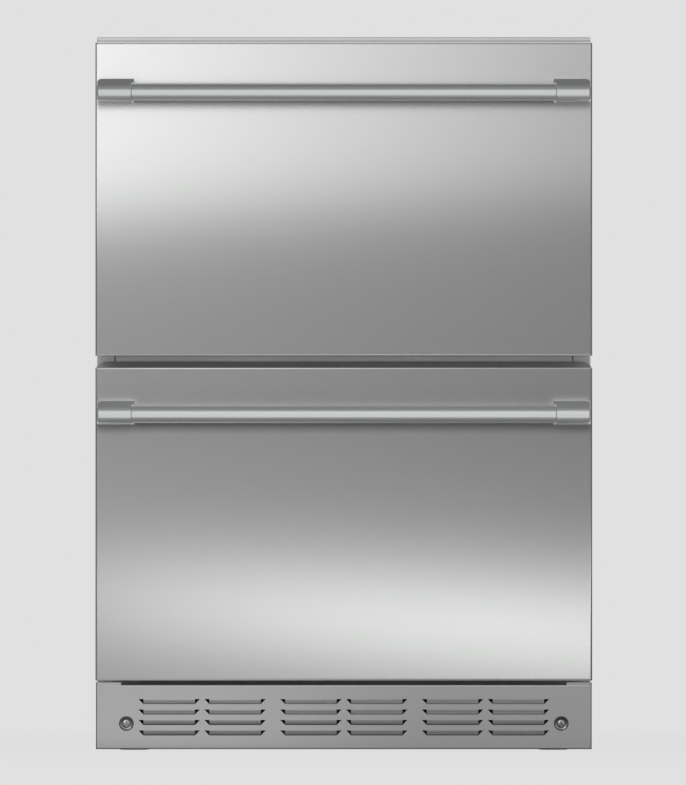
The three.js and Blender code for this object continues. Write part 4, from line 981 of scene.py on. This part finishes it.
class FRIDGE_OT_handles(bpy.types.Operator):
    """Bar handles: a round bar between two posts on each drawer"""

    bl_idname = "fridge.handles"
    bl_label = "Handles"

    def execute(self, context):
        settings = context.scene.fridge_handles
        for drawer in DRAWERS:
            self.bar(settings, drawer)
            for side, sign in SIDES.items():
                self.post(settings, drawer, side, sign)
        return {"FINISHED"}

    def bar(self, settings, drawer):
        """Round bar with a shallow groove where it enters each post."""
        node = drawer + "_handle_bar"
        low, high = low_high(node)
        radius, reach = (high[2] - low[2]) / 2, (high[0] - low[0]) / 2
        shoulder = low_high(drawer + "_handle_post_right")[1][0] - settings.collar - 0.25 * MM
        spigot, bevel = radius - 4 * MM, 0.2 * MM
        half = [(0, reach), (spigot, reach), (spigot, shoulder), (radius - bevel, shoulder)]
        half += [(radius, shoulder - bevel), (radius, shoulder - 4 * bevel)]
        profile = half + [(r, -along) for r, along in half[::-1]]
        bar = Form().turned(profile, (low + high) / 2, "x", 64)
        bar.piece(drawer + "_bar", "handle", "drawer_" + drawer, "brushed_steel", node, crease=35)

    def post(self, settings, drawer, side, sign):
        """Collar turned about the bar's axis, and a neck that eases out to the base plate."""
        node = f"{drawer}_handle_post_{side}"
        low, high = low_high(node)
        bar_low, bar_high = low_high(drawer + "_handle_bar")
        _, axis_y, axis_z = (bar_low + bar_high) / 2
        base_inner, outer = sorted(abs(x) for x in (low[0], high[0]))
        inner, radius, seat = outer - settings.collar, axis_y - low[1], high[1]
        end, edge, corner = settings.end_round, 0.5 * MM, settings.base_corner
        profile = [(0, inner), (radius - edge, inner), (radius, inner + edge), (radius, inner + 3 * MM)]
        profile += [(radius, outer - 2 * end), *((radius, outer) - quarter(end, "in", 6))]
        profile += [(radius - 2 * end, outer), (0, outer)]
        form = Form().turned([(r, sign * along) for r, along in profile], (0, axis_y, axis_z), "x", 64)
        bar_radius = bar_high[2] - axis_z + 0.2 * MM
        reach, split, end_face = seat - 1 * MM - axis_y, inner + 0.2 * MM, outer - 0.4 * MM
        rings = []
        for inset, x in ((0.4 * MM, base_inner), (0, base_inner + 0.4 * MM), (0, split)):
            rings.append(self.neck(settings, (4 * MM, reach), radius, bar_radius, True, inset, 0, x))
        for drop, depth in [(0, end_face - split), *quarter(corner, "in", 6)]:
            inset, x = 0 if depth else edge, end_face - depth
            rings.append(self.neck(settings, (0, reach), radius, radius, False, inset, drop, x))
        form.loft((np.array(rings) + (0, axis_y, axis_z)) * (sign, 1, 1))
        plate = rectangle(base_inner, axis_z - radius, outer, axis_z + settings.base_rise)
        levels = ((0.4 * MM, seat - 1.2 * MM), (0, seat - 0.8 * MM), (0, seat))
        rings = stacked(plate, (0.8 * MM, 2 * MM, corner, 0.8 * MM), levels, 5)
        form.loft(np.array(rings) * (sign, 1, 1))
        form.piece(f"{drawer}_post_{side}", "handle", "drawer_" + drawer, "brushed_steel", node, crease=35)

    def neck(self, settings, along, radius, back_radius, short, inset, drop, x):
        """Section of a post across the bar: flat below, a slope at 45 degrees up to the base's top."""
        rise = settings.base_rise - drop
        lean = back_radius * math.sqrt(2)
        foot = rise - 5 * MM if short else back_radius / math.sqrt(2)
        section = [(along[0], -radius), (along[1], -radius), (along[1], rise), (rise - lean, rise)]
        section.append((foot - lean, foot))
        return place(filleted(section, (0, 0.5 * MM, 0.5 * MM, 1.6 * MM, 0), inset, 5), x, "x")


class FRIDGE_OT_toe_grille(bpy.types.Operator):
    """Louvred toe grille and its two cross-head screws"""

    bl_idname = "fridge.toe_grille"
    bl_label = "Toe grille"

    patch = 11 * MM
    patch_lines = 9

    def execute(self, context):
        settings = context.scene.fridge_grille
        low, high = low_high("toe_grille")
        face = low[1]
        centres = [np.add(*low_high("grille_screw_" + side))[[0, 2]] / 2 for side in SIDES]
        form, cups = Form(), Form()
        self.panel(settings, form, low, high, centres)
        for centre in centres:
            rings = self.cup(settings, centre, face)
            form.loft(rings[:3], (False, False))
            cups.loft(rings[2:], (False, False))
        # the cups take the darker steel of painted shade
        self.pressed(settings, cups, "grille_screw_cups", "recess")
        # dark sheet standing in for the shade behind the louvres
        self.louvre_shade_sheet(settings, low)
        blades = Form()
        for x in self.columns(settings):
            for top in self.tops(settings):
                blades.sheet(self.blade(settings, x, top, face))
        self.pressed(settings, blades, "louvre_blades", "blade")
        self.tabs(settings, form, face, high)
        self.pressed(settings, form, "louvred_toe_grille", "grille", "toe_grille")
        for side in SIDES:
            self.screw("grille_screw_" + side)
        return {"FINISHED"}

    def pressed(self, settings, form, name, look, replaced=None):
        """A piece of the grille's sheet."""
        form.piece(name, look, "cabinet", "brushed_steel", replaced, settings.sheet, recalculate=False)

    def panel(self, settings, form, low, high, centres):
        """The flat face with its openings, and the folded rim round it."""
        bend = settings.bend
        flat_low = (low[0] + bend, low[2] + bend)
        flat_high = (high[0] - bend, high[2] - settings.tab_rise - bend)
        grid, keep = self.flat_face(settings, flat_low, flat_high, centres, low[1])
        form.sheet(grid, keep)
        form.loft(self.rim(grid, bend, low[1], high[1]), (False, False), flip=True)

    def tabs(self, settings, form, face, high):
        """A tab over each end of the upper edge, behind the lower front."""
        foot = high[2] - settings.tab_rise - 1 * MM
        levels = ((0.4 * MM, face + 1.5 * MM), (0, face + 1.9 * MM), (0, face + 8.5 * MM))
        for sign in SIDES.values():
            near, far = sorted([sign * (high[0] - settings.tab_width), sign * high[0]])
            form.loft(stacked(rectangle(near, foot, far, high[2]), 0.5 * MM, levels, 3), flip=True)

    def louvre_shade_sheet(self, settings, low):
        """Dark strip behind the lowest row of louvres, on the base pan: a dark sheet that stands in for the
        shade behind the louvres.
        """
        behind = low_high("base_pan")[0][1] - 0.1 * MM
        end = self.columns(settings)[0] - settings.top_width
        foot = low[2] + settings.top - 3.6 * settings.pitch
        levels = [(0, behind), (0, behind - 0.3 * MM)]
        strip = Form().loft(stacked(rectangle(end, foot, -end, foot + settings.pitch), 1 * MM, levels, 3))
        strip.piece("grille_shade_sheet", "dark", "cabinet", "dark_plastic")

    def screw(self, node):
        """Domed head as a height over a polar grid, with a crossed slot that runs out at its four ends."""
        low, high = low_high(node)
        radius, rise, shank = (high[0] - low[0]) / 2, 2.6 * MM, 2.1 * MM
        slot_half, slot_reach, slot_depth = 0.9 * MM, 3.4 * MM, 1.3 * MM
        centre = ((low[0] + high[0]) / 2, low[1] + rise, (low[2] + high[2]) / 2)
        reach = np.linspace(0, 1, 25)[:, None]
        angle = np.linspace(0, FULL, 96, endpoint=False)[None]
        x, z = radius * reach * np.cos(angle), radius * reach * np.sin(angle)
        across, along = np.minimum(np.abs(x), np.abs(z)), np.maximum(np.abs(x), np.abs(z))
        slot = np.clip((slot_half - across) / (0.3 * MM), 0, 1)
        slot *= np.clip((slot_reach - along) / slot_half, 0, 1)
        height = rise * (0.35 + 0.65 * np.sqrt(1 - 0.98 * reach**2))
        rings = np.stack([x + centre[0], centre[1] - height + slot * slot_depth, z + centre[2]], -1)
        skirt = rings[-1:].copy()
        skirt[..., 1] = centre[1]
        form = Form().loft(np.concatenate([rings, skirt]), (False, False))
        length = high[1] - centre[1]
        form.turned([(0, 0), (shank, 0), (shank, length), (0, length)], centre, "y", 16)
        form.piece(node + "_cross_head", "dull screw", "cabinet", "screw_steel", node, crease=50)

    def columns(self, settings):
        """Middle of each louvre across the grille: pairs at an even pitch, centred."""
        pairs = (np.arange(settings.groups) - (settings.groups - 1) / 2) * settings.group_pitch
        return (pairs[:, None] + np.array([-0.5, 0.5]) * settings.column_pitch).ravel()

    def tops(self, settings):
        """Height of the upper edge of each row of louvres."""
        return low_high("toe_grille")[0][2] + settings.top - settings.pitch * np.arange(settings.rows)

    def half_width(self, settings, z):
        """Half width of a louvre column at a height: wide at a louvre's top and narrow at its bottom."""
        tops = self.tops(settings)
        heights = np.concatenate([tops, tops - settings.height])
        widths = np.repeat([settings.top_width, settings.bottom_width], settings.rows) / 2
        order = np.argsort(heights)
        return np.interp(z, heights[order], widths[order])

    def flat_face(self, settings, low, high, centres, face):
        """Grid of the flat face, its lines on the edges of louvres and cups, and which cells are sheet."""
        tops = self.tops(settings)
        squares = np.linspace(-self.patch, self.patch, self.patch_lines)
        cup_z = centres[0][1]
        z = np.concatenate([[low[1], high[1]], tops, tops - settings.height, cup_z + squares])
        z = np.unique(np.round(z, 7))
        half = self.half_width(settings, z)[:, None]
        edges = [low[0], *(centres[0][0] + squares)]
        lines = [np.full((len(z), 1), x) for x in edges]
        for x in self.columns(settings):
            lines += [x - half, x + half]
        lines += [np.full((len(z), 1), x) for x in (*(centres[1][0] + squares), high[0])]
        x = np.concatenate(lines, 1)
        grid = np.stack([x, np.full_like(x, face), np.repeat(z[:, None], x.shape[1], 1)], -1)
        middle = (z[1:] + z[:-1])[:, None] / 2
        in_row = ((middle < tops) & (middle > tops - settings.height)).any(1)
        column = np.arange(x.shape[1] - 1)
        first, last = len(edges), len(edges) + 4 * settings.groups
        in_louvre = (column >= first) & (column < last) & ((column - first) % 2 == 0)
        in_patch = np.abs(middle[:, 0] - cup_z) < self.patch
        cells = self.patch_lines - 1
        in_cup = ((column >= 1) & (column <= cells)) | ((column >= last) & (column < last + cells))
        keep = ~(in_row[:, None] & in_louvre[None]) & ~(in_patch[:, None] & in_cup[None])
        return grid, keep

    def rim(self, grid, bend, face, back):
        """Rings round the flat face: a quarter turn, then the folded edge."""
        ring = np.concatenate([grid[0, :-1], grid[:-1, -1], grid[-1, :0:-1], grid[:0:-1, 0]])
        x, z = ring[:, 0], ring[:, 2]
        away = np.zeros_like(ring)
        away[:, 0] = np.sign(x) * np.isclose(np.abs(x), np.abs(x).max())
        away[:, 2] = np.isclose(z, z.max()) * 1.0 - np.isclose(z, z.min())
        angle = np.linspace(0, QUARTER, 6)[:, None, None]
        rings = ring + away * bend * np.sin(angle)
        rings[..., 1] = (face + bend * (1 - np.cos(angle)))[..., 0]
        last = rings[-1:].copy()
        last[..., 1] = back
        return np.concatenate([rings, last])

    def cup(self, settings, centre, face):
        """Rings from a square patch in to a circle, down the cup's wall and over its floor."""
        line = np.linspace(-self.patch, self.patch, self.patch_lines)[:-1]
        end = np.full_like(line, self.patch)
        sides = (line, -end), (end, line), (-line, end), (-end, -line)
        square = np.concatenate([np.stack(side, -1) for side in sides])
        circle = square / np.linalg.norm(square, axis=1)[:, None]
        radius, depth, lip = settings.cup_radius, settings.cup_depth, 0.6 * MM
        turn = np.linspace(0, QUARTER, 9)
        bowl = np.stack([radius * np.cos(turn * 0.86), depth * np.sin(turn)], -1)
        levels = [(radius + lip, 0), (radius + 0.3 * lip, 0.08 * lip), (radius, 0.4 * lip)]
        levels += [(r, y + 0.4 * lip) for r, y in bowl[1:] * (1, 0.92)] + [(1.2 * MM, depth)]
        rings = [place(square, face, "y")] + [place(circle * r, face + y, "y") for r, y in levels]
        return np.array(rings) + (centre[0], 0, centre[1])

    def blade(self, settings, x, top, face):
        """Louvre blade: its depth grows with the square of the way down from its hinge."""
        half = settings.bottom_width / 2
        turn, across = np.meshgrid(np.linspace(1, 0, 9), np.linspace(-half, half, 5), indexing="ij")
        drop = turn * (settings.height + 1 * MM)
        return np.stack([x + across, face + settings.blade_depth * turn**2, top - drop], -1)


class FRIDGE_OT_bins(bpy.types.Operator):
    """Drawer bins, dividers and telescopic slides"""

    bl_idname = "fridge.bins"
    bl_label = "Bins and slides"

    def execute(self, context):
        settings = context.scene.fridge_bins
        for drawer in DRAWERS:
            self.bin(settings, drawer)
            softened(drawer + "_divider", "clear", 0.5 * MM)
            for side in SIDES:
                for member in ("outer", "middle", "inner"):
                    softened(f"{drawer}_slide_{member}_{side}", "zinc", 0.3 * MM)
        return {"FINISHED"}

    def bin(self, settings, drawer):
        """Side outline, open along the top, carried from wall to wall with rounded ends."""
        node, body = drawer + "_bin", "drawer_" + drawer
        low, high = low_high(node)
        corner, sheet, half = settings.corner, settings.sheet, high[0] - settings.rim
        outline = rectangle(low[1], low[2], high[1], high[2])
        if drawer == "lower":
            back, rise = settings.step_back, settings.step_rise
            outline[1:2] = [(back, low[2]), (back, rise), (high[1], rise)]
        top_edge = len(outline) - 2
        rings = stacked(outline, corner, round_ends(corner, half, 6), 6, top_edge, "x")
        form = Form().loft(rings, skip=strip_of(top_edge))
        form.piece(drawer + "_storage_bin", "bin", body, "cabinet_steel", node, sheet)
        rims = Form()
        ends = [(0, low_high(drawer + "_slide_inner_left")[0][1]), (0, high[1])]
        for sign in SIDES.values():
            near, far = sorted([sign * (half - sheet), sign * high[0]])
            rims.loft(stacked(rectangle(near, high[2] - sheet, far, high[2]), settings.rim_round, ends, 4))
        rims.piece(drawer + "_bin_rims", "bin", body, "cabinet_steel")


class FRIDGE_OT_cavity(bpy.types.Operator):
    """Moulded liner, evaporator cover, light and controls"""

    bl_idname = "fridge.cavity"
    bl_label = "Cavity"

    def execute(self, context):
        self.liner(context.scene.fridge_liner)
        softened("evaporator_cover", "liner", 1.2 * MM, 3)
        softened("control_panel", "dark", 0.8 * MM, 3)
        softened("light_bar", "light", 0.6 * MM)
        for key in ("power", "light", "warmer", "cooler"):
            softened("key_" + key, "key", 0.5 * MM)
        self.display()
        self.fan_guard()
        return {"FINISHED"}

    def liner(self, settings):
        """Side outline of the cavity, open in front, carried from wall to wall, and a front flange."""
        low, high = low_high("inner_liner")
        _, back, top = low_high("evaporator_cover")[1] + 0.3 * MM
        front, corner, turn, wall = low[1], settings.corner, settings.mouth_round, 1.2 * MM
        half, floor, step_y, step_z = 261 * MM, 117.6 * MM, 95.9 * MM, 257.6 * MM
        outline = [(front, floor), (step_y, floor), (step_y, step_z), (back, step_z)]
        outline += [(back, top), (front, top)]
        radii, levels, mouth_edge = (0, *[corner] * 4, 0), round_ends(corner, half, 5), 5
        rings = np.array(stacked(outline, radii, levels, 6, mouth_edge, "x"))
        rings[..., 1] = np.maximum(rings[..., 1], front + turn)
        form = Form().loft(rings, skip=strip_of(mouth_edge))
        mouth = rectangle(-half, floor, half, top)
        rings = stacked(from_front(low, high), 0.5 * MM, [(0, front)])
        rings += stacked(mouth, corner + turn, [(-turn - 1 * MM, front)])
        rings += stacked(mouth, corner, quarter(turn, "out") * (-1, 1) + (0, front))
        form.loft(rings, (False, False))
        form.piece("moulded_liner", "liner", "cabinet", "liner_plastic", "inner_liner", wall, True)

    def display(self):
        """Dark glass in the control panel, with a row of small lit dots."""
        low, high = low_high("control_panel")
        face, z, half_width, half_height = low[1] + 1 * MM, (low[2] + high[2]) / 2, 33 * MM, 7 * MM
        flat = rectangle(-half_width, z - half_height, half_width, z + half_height)
        levels = ((0, face), (0, face - 0.4 * MM), (0.3 * MM, face - 0.7 * MM))
        glass = Form().loft(stacked(flat, 1.5 * MM, levels))
        glass.piece("display_glass", "glass", "cabinet", "dark_plastic", crease=30)
        profile = np.array([(0, 0.1), (0.9, 0.1), (0.9, -0.2), (0, -0.25)]) * MM
        dots = Form()
        for x in np.linspace(-20 * MM, 20 * MM, 5):
            dots.turned(profile, (x, face - 0.7 * MM, z), "y", 16)
        dots.piece("display_dots", "key", "cabinet", "clear_plastic")

    def fan_guard(self):
        """Concentric wire rings and four spokes over the evaporator fan's mouth."""
        low, _ = low_high("evaporator_cover")
        wire, spoke = 0.9 * MM, 52 * MM
        centre = np.add(*low_high("evaporator_fan_blade")) / 2
        centre[1] = low[1] - wire
        angle = np.linspace(0, FULL, 8, endpoint=False)
        guard = Form()
        for radius in (12 * MM, 22 * MM, 32 * MM, 42 * MM, 50 * MM):
            profile = np.stack([radius + wire * np.cos(angle), wire * np.sin(angle)], -1)
            guard.turned(profile, centre, "y", 48, True)
        for turn in (QUARTER / 2, QUARTER * 1.5):
            along = np.array([math.cos(turn), 0, math.sin(turn)])
            across = np.array([-math.sin(turn), 0, math.cos(turn)])
            round_wire = wire * (np.cos(angle)[:, None] * across + np.sin(angle)[:, None] * (0, 1, 0))
            guard.loft(np.array([-spoke, spoke])[:, None, None] * along + round_wire + centre)
        guard.piece("evaporator_fan_guard", "screw", "cabinet", "screw_steel", crease=60)


class FRIDGE_OT_works(bpy.types.Operator):
    """Compressor, coils, fans, drain pan and power inlet"""

    bl_idname = "fridge.works"
    bl_label = "Cooling works"

    def execute(self, context):
        softened("compressor", "black", 0.8 * MM, 2, 50)
        # painted shade: the coil behind the grille takes the darkened copper
        softened("condenser_coil", "aged copper", 0, crease=70)
        softened("evaporator_coil", "copper", 0, crease=70)
        softened("condenser_fan_shroud", "zinc", 0.3 * MM)
        softened("condenser_fan_blade", "aluminium", 0.3 * MM)
        softened("evaporator_fan_blade", "dark", 0.3 * MM)
        softened("condenser_fan_motor", "black", 0.6 * MM)
        softened("evaporator_fan_motor", "black", 0.4 * MM)
        softened("drain_pan", "dark", 0.5 * MM)
        softened("power_inlet", "dark", 0.4 * MM)
        self.compressor_seam()
        return {"FINISHED"}

    def compressor_seam(self):
        """Welded belt round the compressor's shell."""
        low, high = low_high("compressor")
        radius, height = 74 * MM, 86 * MM
        centre = ((low[0] + high[0]) / 2, (low[1] + high[1]) / 2, low[2] + height)
        profile = np.array([(-1, -4), (1.6, -3), (2.4, 0), (1.6, 3), (-1, 4)]) * MM + (radius, 0)
        belt = Form().turned(profile, centre, "z", 48, True)
        belt.piece("compressor_weld_belt", "black", "cabinet", "black_paint")


# ---------------------------------------------------------------- stage


class FRIDGE_OT_stage(bpy.types.Operator):
    """Camera, pale backdrop and floor, lamps and the cards that the steel reflects"""

    bl_idname = "fridge.stage"
    bl_label = "Studio"

    lamp_aim = 0.43

    def execute(self, context):
        studio = context.scene.fridge_studio
        context.scene.view_settings.view_transform = "Standard"
        face = low_high("upper_front_skin")[0][1]
        self.camera(studio, face)
        self.world(studio)
        self.floor(studio)
        self.cards(studio, face)
        without = self.pieces("all but fronts and handles", HANDLES + FRONTS, True)
        key_at, fill_at, width = (-1.9, -2.6, 2.5), (2.6, -2.2, 1.6), 2.2
        self.lamp("key lamp", key_at, width, studio.key_light, without)
        self.lamp("fill lamp", fill_at, width, studio.fill_light, without)
        fronts, face_at, face_width = self.pieces("brushed fronts", FRONTS), (0, face - 6, 1.3), 1.5
        lamp = self.lamp("face lamp", face_at, face_width, studio.face_light, fronts)
        lamp.visible_glossy = False
        lamp.data.cycles.use_multiple_importance_sampling = False
        return {"FINISHED"}

    def pieces(self, name, members, left_out=False):
        """Collection that lets a lamp or card act on its members only, or on all but its members."""
        collection = bpy.data.collections.new(name)
        for member in members:
            collection.objects.link(bpy.data.objects[member])
        for member in collection.collection_objects:
            member.light_linking.link_state = "EXCLUDE" if left_out else "INCLUDE"
        return collection

    def camera(self, studio, face):
        """A long lens square to the fronts, framing the picture's height at the drawer faces."""
        camera = bpy.data.objects.new("camera", bpy.data.cameras.new("camera"))
        bpy.context.scene.collection.objects.link(camera)
        camera.location = (studio.camera_side, face - studio.camera_distance, studio.camera_height)
        camera.rotation_euler = (QUARTER, 0, 0)
        camera.data.sensor_width = 36
        camera.data.lens = camera.data.sensor_width * studio.camera_distance / studio.frame_height
        camera.data.clip_end = 200
        bpy.context.scene.camera = camera

    def world(self, studio):
        """The backdrop grey to the camera and in reflections, and an even sky on matt surfaces."""
        world = bpy.data.worlds.new("studio")
        bpy.context.scene.world = world
        air = Finish("studio", world)
        grey = (studio.backdrop,) * 3 + (1,)
        sky = air.node("ShaderNodeBackground", sockets={"Strength": studio.world_light})
        air.output(air.blend(air.seen(), sky, air.node("ShaderNodeBackground", sockets={"Color": grey})))

    def staged(self, name, corners, material):
        """A piece of the studio made of flat four-cornered faces; its light is found by reflected rays."""
        material.cycles.emission_sampling = "NONE"
        mesh = bpy.data.meshes.new(name)
        mesh.from_pydata(corners, [], np.arange(len(corners)).reshape(-1, 4).tolist())
        mesh.materials.append(material)
        thing = bpy.data.objects.new(name, mesh)
        bpy.context.scene.collection.objects.link(thing)
        return thing

    def floor(self, studio):
        """Pale floor that shows the backdrop's grey, and under the object a part of its shadow."""
        paint, grey, reach = Finish("studio floor"), studio.backdrop, 30
        away = paint.node("ShaderNodeVectorMath", {"operation": "LENGTH"}, {0: paint.position()}, "Value")
        weight = paint.seen() * (away.above(1.3, 1.2) * 0.06 + 0.94)
        colour = paint.mix(paint.noise(40), (grey * 0.99,) * 3, (grey * 1.01,) * 3)
        matt = paint.node("ShaderNodeBsdfDiffuse", sockets={0: colour})
        corners = [(x, y, 0) for x, y in rectangle(-reach, -reach, reach, reach)]
        self.staged("floor", corners, paint.output(paint.blend(weight, matt, paint.emission(grey))))

    def cards(self, studio, face):
        """Grey cards round the front, seen only in reflections, some by a few pieces alone."""
        half, top, front, back = 0.5, 1.15, face - studio.card_distance, face + 0.12

        def upright(y, foot, head, half=half):
            return [(x, y, z) for x, z in rectangle(-half, foot, half, head)]

        def level(z, far):
            return [(x, y, z) for x, y in rectangle(-half, front, half, far)]

        plain = FRONTS[2:] + ("cabinet_wrapper", "rail_strip", "grille_screw_cups")
        plain += tuple(f"grille_screw_{side}_cross_head" for side in SIDES)
        all_but_plain = self.pieces("fronts", HANDLES + plain, True)
        all_but_bars, only_plain = self.pieces("all but bars", HANDLES, True), self.pieces("plain", plain)
        ceiling = self.even_glow("ceiling glow", studio.ceiling_grey)
        self.card("front card", upright(front, 0, top), self.glow(studio), all_but_plain)
        self.card("plain card", upright(front + 10 * MM, 0, top), self.plain_glow(), only_plain)
        self.card("floor card", level(2 * MM, face + 18 * MM), self.floor_glow(face), all_but_bars)
        self.card("ceiling card", level(top, back), ceiling, all_but_bars)
        for side, sign in SIDES.items():
            wall = [(sign * half, y, z) for y, z in rectangle(front, 0, back, top)]
            self.card(side + " card", wall, self.even_glow(side + " glow", studio.side_grey))
        for drawer, gap, slopes in (("upper", 20 * MM, (-1.08, 0.48)), ("lower", 30 * MM, (-0.93, 0.75))):
            low, high = low_high(drawer + "_handle_bar")
            bars = self.pieces(drawer + " handle", [name for name in HANDLES if name.startswith(drawer)])
            corners = upright(front + gap, 0, top) + level(gap / 5, face) + level(top - gap, back)
            glow = self.handle_glow(studio, (low + high) / 2, *slopes)
            self.card(drawer + " handle card", corners, glow, bars)
            strip = upright(face - 30 * MM, low[2] - studio.flag_drop, low[2] + 4 * MM, 0.3)
            self.card(drawer + " flag", strip, self.flag(studio, low[2]))

    def card(self, name, corners, material, receivers=None):
        """A staged card that only reflections see."""
        card = self.staged(name, corners, material)
        card.visible_camera = False
        card.visible_diffuse = False
        card.visible_shadow = False
        card.visible_transmission = False
        card.light_linking.receiver_collection = receivers

    def left(self, glow):
        """1 towards the left of the object, easing to 0 on its right."""
        middle, blur = -0.03, 0.3
        return 1 - glow.axis("x").above(middle, blur)

    def even_glow(self, name, grey):
        """Emission of one grey."""
        glow = Finish(name)
        return glow.output(glow.emission(grey))

    def clear_glow(self, glow, light):
        """Emission of a wire, with whatever stands behind it showing through."""
        shaders = {0: glow.emission(light), 1: glow.clear()}
        return glow.output(glow.node("ShaderNodeAddShader", sockets=shaders))

    def handle_glow(self, studio, axis, foot, head):
        """Grey that darkens over and under the bar, with a bright panel between two slopes from its axis."""
        foot_blur, head_blur, upward = 0.16, 0.1, 0.09
        near, near_blur, near_grey, added_grey = 0.1, 0.15, 0.2, 0.1
        glow = Finish("handle glow")
        ahead = axis[1] - glow.axis("y")
        slope = (glow.axis("z") - axis[2]) / ahead
        panel = slope.above(foot, foot_blur) * (1 - slope.above(head, head_blur))
        panel *= slope * upward + studio.handle_glow
        return self.clear_glow(glow, panel + ahead.above(near, near_blur) * added_grey + near_grey)

    def flag(self, studio, edge):
        """Black that thins out downwards from a bar's lower edge."""
        glow = Finish("flag")
        height = glow.axis("z").above(edge - studio.flag_drop / 2, studio.flag_drop)
        return glow.output(glow.blend(height * studio.flag, glow.clear(), glow.emission(0)))

    def plain_glow(self):
        """For the grille brighter on the left; an even grey higher up, and bright at the cabinet's top."""
        right_grey, left_grey, high_grey, gap_grey, top_grey = 0.115, 0.13, 0.3, 0.4, 0.6
        grille, gap, top = 0.3, 0.475, 0.66
        glow = Finish("plain glow")
        z, high = glow.axis("z"), glow.axis("z").above(grille, 0.1)
        low = (self.left(glow) * left_grey + right_grey) * (1 - high)
        light = low + high * high_grey + z.bell(gap, 0.06) * gap_grey + z.above(top, 0.2) * top_grey
        return self.clear_glow(glow, light)

    def glow(self, studio):
        """Card grey, a glow above a soft edge that fades to the right, and a bell-shaped band.

        x and z are those of the point on the drawer faces that mirrors this point to the lens.
        """
        reach, grey_fade = 0.37, -0.174
        edge, edge_tilt, edge_blur, upper_fade = 0.6625, 0.052, 0.06, -0.94
        band, band_tilt, band_width, band_widening = 0.163, 0.075, 0.057, 0.012
        lower_rise, lower_bow = 1.15, 2.6
        glow = Finish("front glow")
        shrink = studio.camera_distance / (studio.camera_distance + studio.card_distance)
        x = glow.axis("x") * shrink
        x = glow.node("ShaderNodeClamp", sockets={"Value": x, "Min": -reach, "Max": reach})
        z = (glow.axis("z") - studio.camera_height) * shrink + studio.camera_height
        upper = (x * upper_fade + studio.upper_glow) * (z - x * edge_tilt).above(edge, edge_blur)
        bell = (z + x * band_tilt).bell(band, x * band_widening + band_width)
        lower = (x * lower_rise - x * x * lower_bow + studio.lower_glow) * bell
        return glow.output(glow.emission(upper + lower + (x * grey_fade + studio.card_grey)))

    def floor_glow(self, face):
        """Dark close to the grille, brighter farther off, and darker towards the right."""
        near, near_blur = 0.14, 0.22
        glow = Finish("floor glow")
        away = 1 - glow.axis("y").above(face - near, near_blur)
        return glow.output(glow.emission((away * 0.03 + 0.03) + self.left(glow) * (away * 0.2 + 0.06)))

    def lamp(self, name, position, width, watts, receivers):
        """Large square lamp aimed at the middle of the object, for the pieces that the collection allows."""
        lamp = bpy.data.lights.new(name, "AREA")
        lamp.size = width
        lamp.energy = watts
        thing = bpy.data.objects.new(name, lamp)
        bpy.context.scene.collection.objects.link(thing)
        thing.location = position
        aim = np.array(position) - (0, 0, self.lamp_aim)
        tilt = math.acos(aim[2] / np.linalg.norm(aim))
        thing.rotation_euler = (tilt, 0, math.atan2(aim[1], aim[0]) + QUARTER)
        thing.visible_camera = False
        thing.light_linking.receiver_collection = receivers
        return thing


class FRIDGE_PT_sidebar(bpy.types.Panel):
    """Buttons for each group of pieces"""

    bl_idname = "FRIDGE_PT_sidebar"
    bl_label = "Drawer refrigerator"
    bl_space_type = "VIEW_3D"
    bl_region_type = "UI"
    bl_category = "Refrigerator"

    def draw(self, context):
        for operator in OPERATORS:
            self.layout.operator(operator.bl_idname)
        for _, name in SETTINGS:
            group = getattr(context.scene, name)
            for key in group.__annotations__:
                self.layout.prop(group, key)


SETTINGS = (
    (StudioSettings, "fridge_studio"),
    (MetalSettings, "fridge_metals"),
    (FrontSettings, "fridge_fronts"),
    (HandleSettings, "fridge_handles"),
    (GrilleSettings, "fridge_grille"),
    (BinSettings, "fridge_bins"),
    (LinerSettings, "fridge_liner"),
)
OPERATORS = (
    FRIDGE_OT_cabinet,
    FRIDGE_OT_feet,
    FRIDGE_OT_drawer_fronts,
    FRIDGE_OT_handles,
    FRIDGE_OT_toe_grille,
    FRIDGE_OT_bins,
    FRIDGE_OT_cavity,
    FRIDGE_OT_works,
    FRIDGE_OT_stage,
)


def register():
    """Registers the classes and hangs the settings on the scene."""
    for group, name in SETTINGS:
        bpy.utils.register_class(group)
        setattr(bpy.types.Scene, name, PointerProperty(type=group))
    for operator in OPERATORS:
        bpy.utils.register_class(operator)
    bpy.utils.register_class(FRIDGE_PT_sidebar)


def unregister():
    """Takes the settings and the classes away again."""
    bpy.utils.unregister_class(FRIDGE_PT_sidebar)
    for operator in reversed(OPERATORS):
        bpy.utils.unregister_class(operator)
    for group, name in reversed(SETTINGS):
        delattr(bpy.types.Scene, name)
        bpy.utils.unregister_class(group)


def main():
    """Makes every piece and the studio."""
    register()
    for operator in OPERATORS:
        family, name = operator.bl_idname.split(".")
        getattr(getattr(bpy.ops, family), name)()


if __name__ == "__main__":
    main()
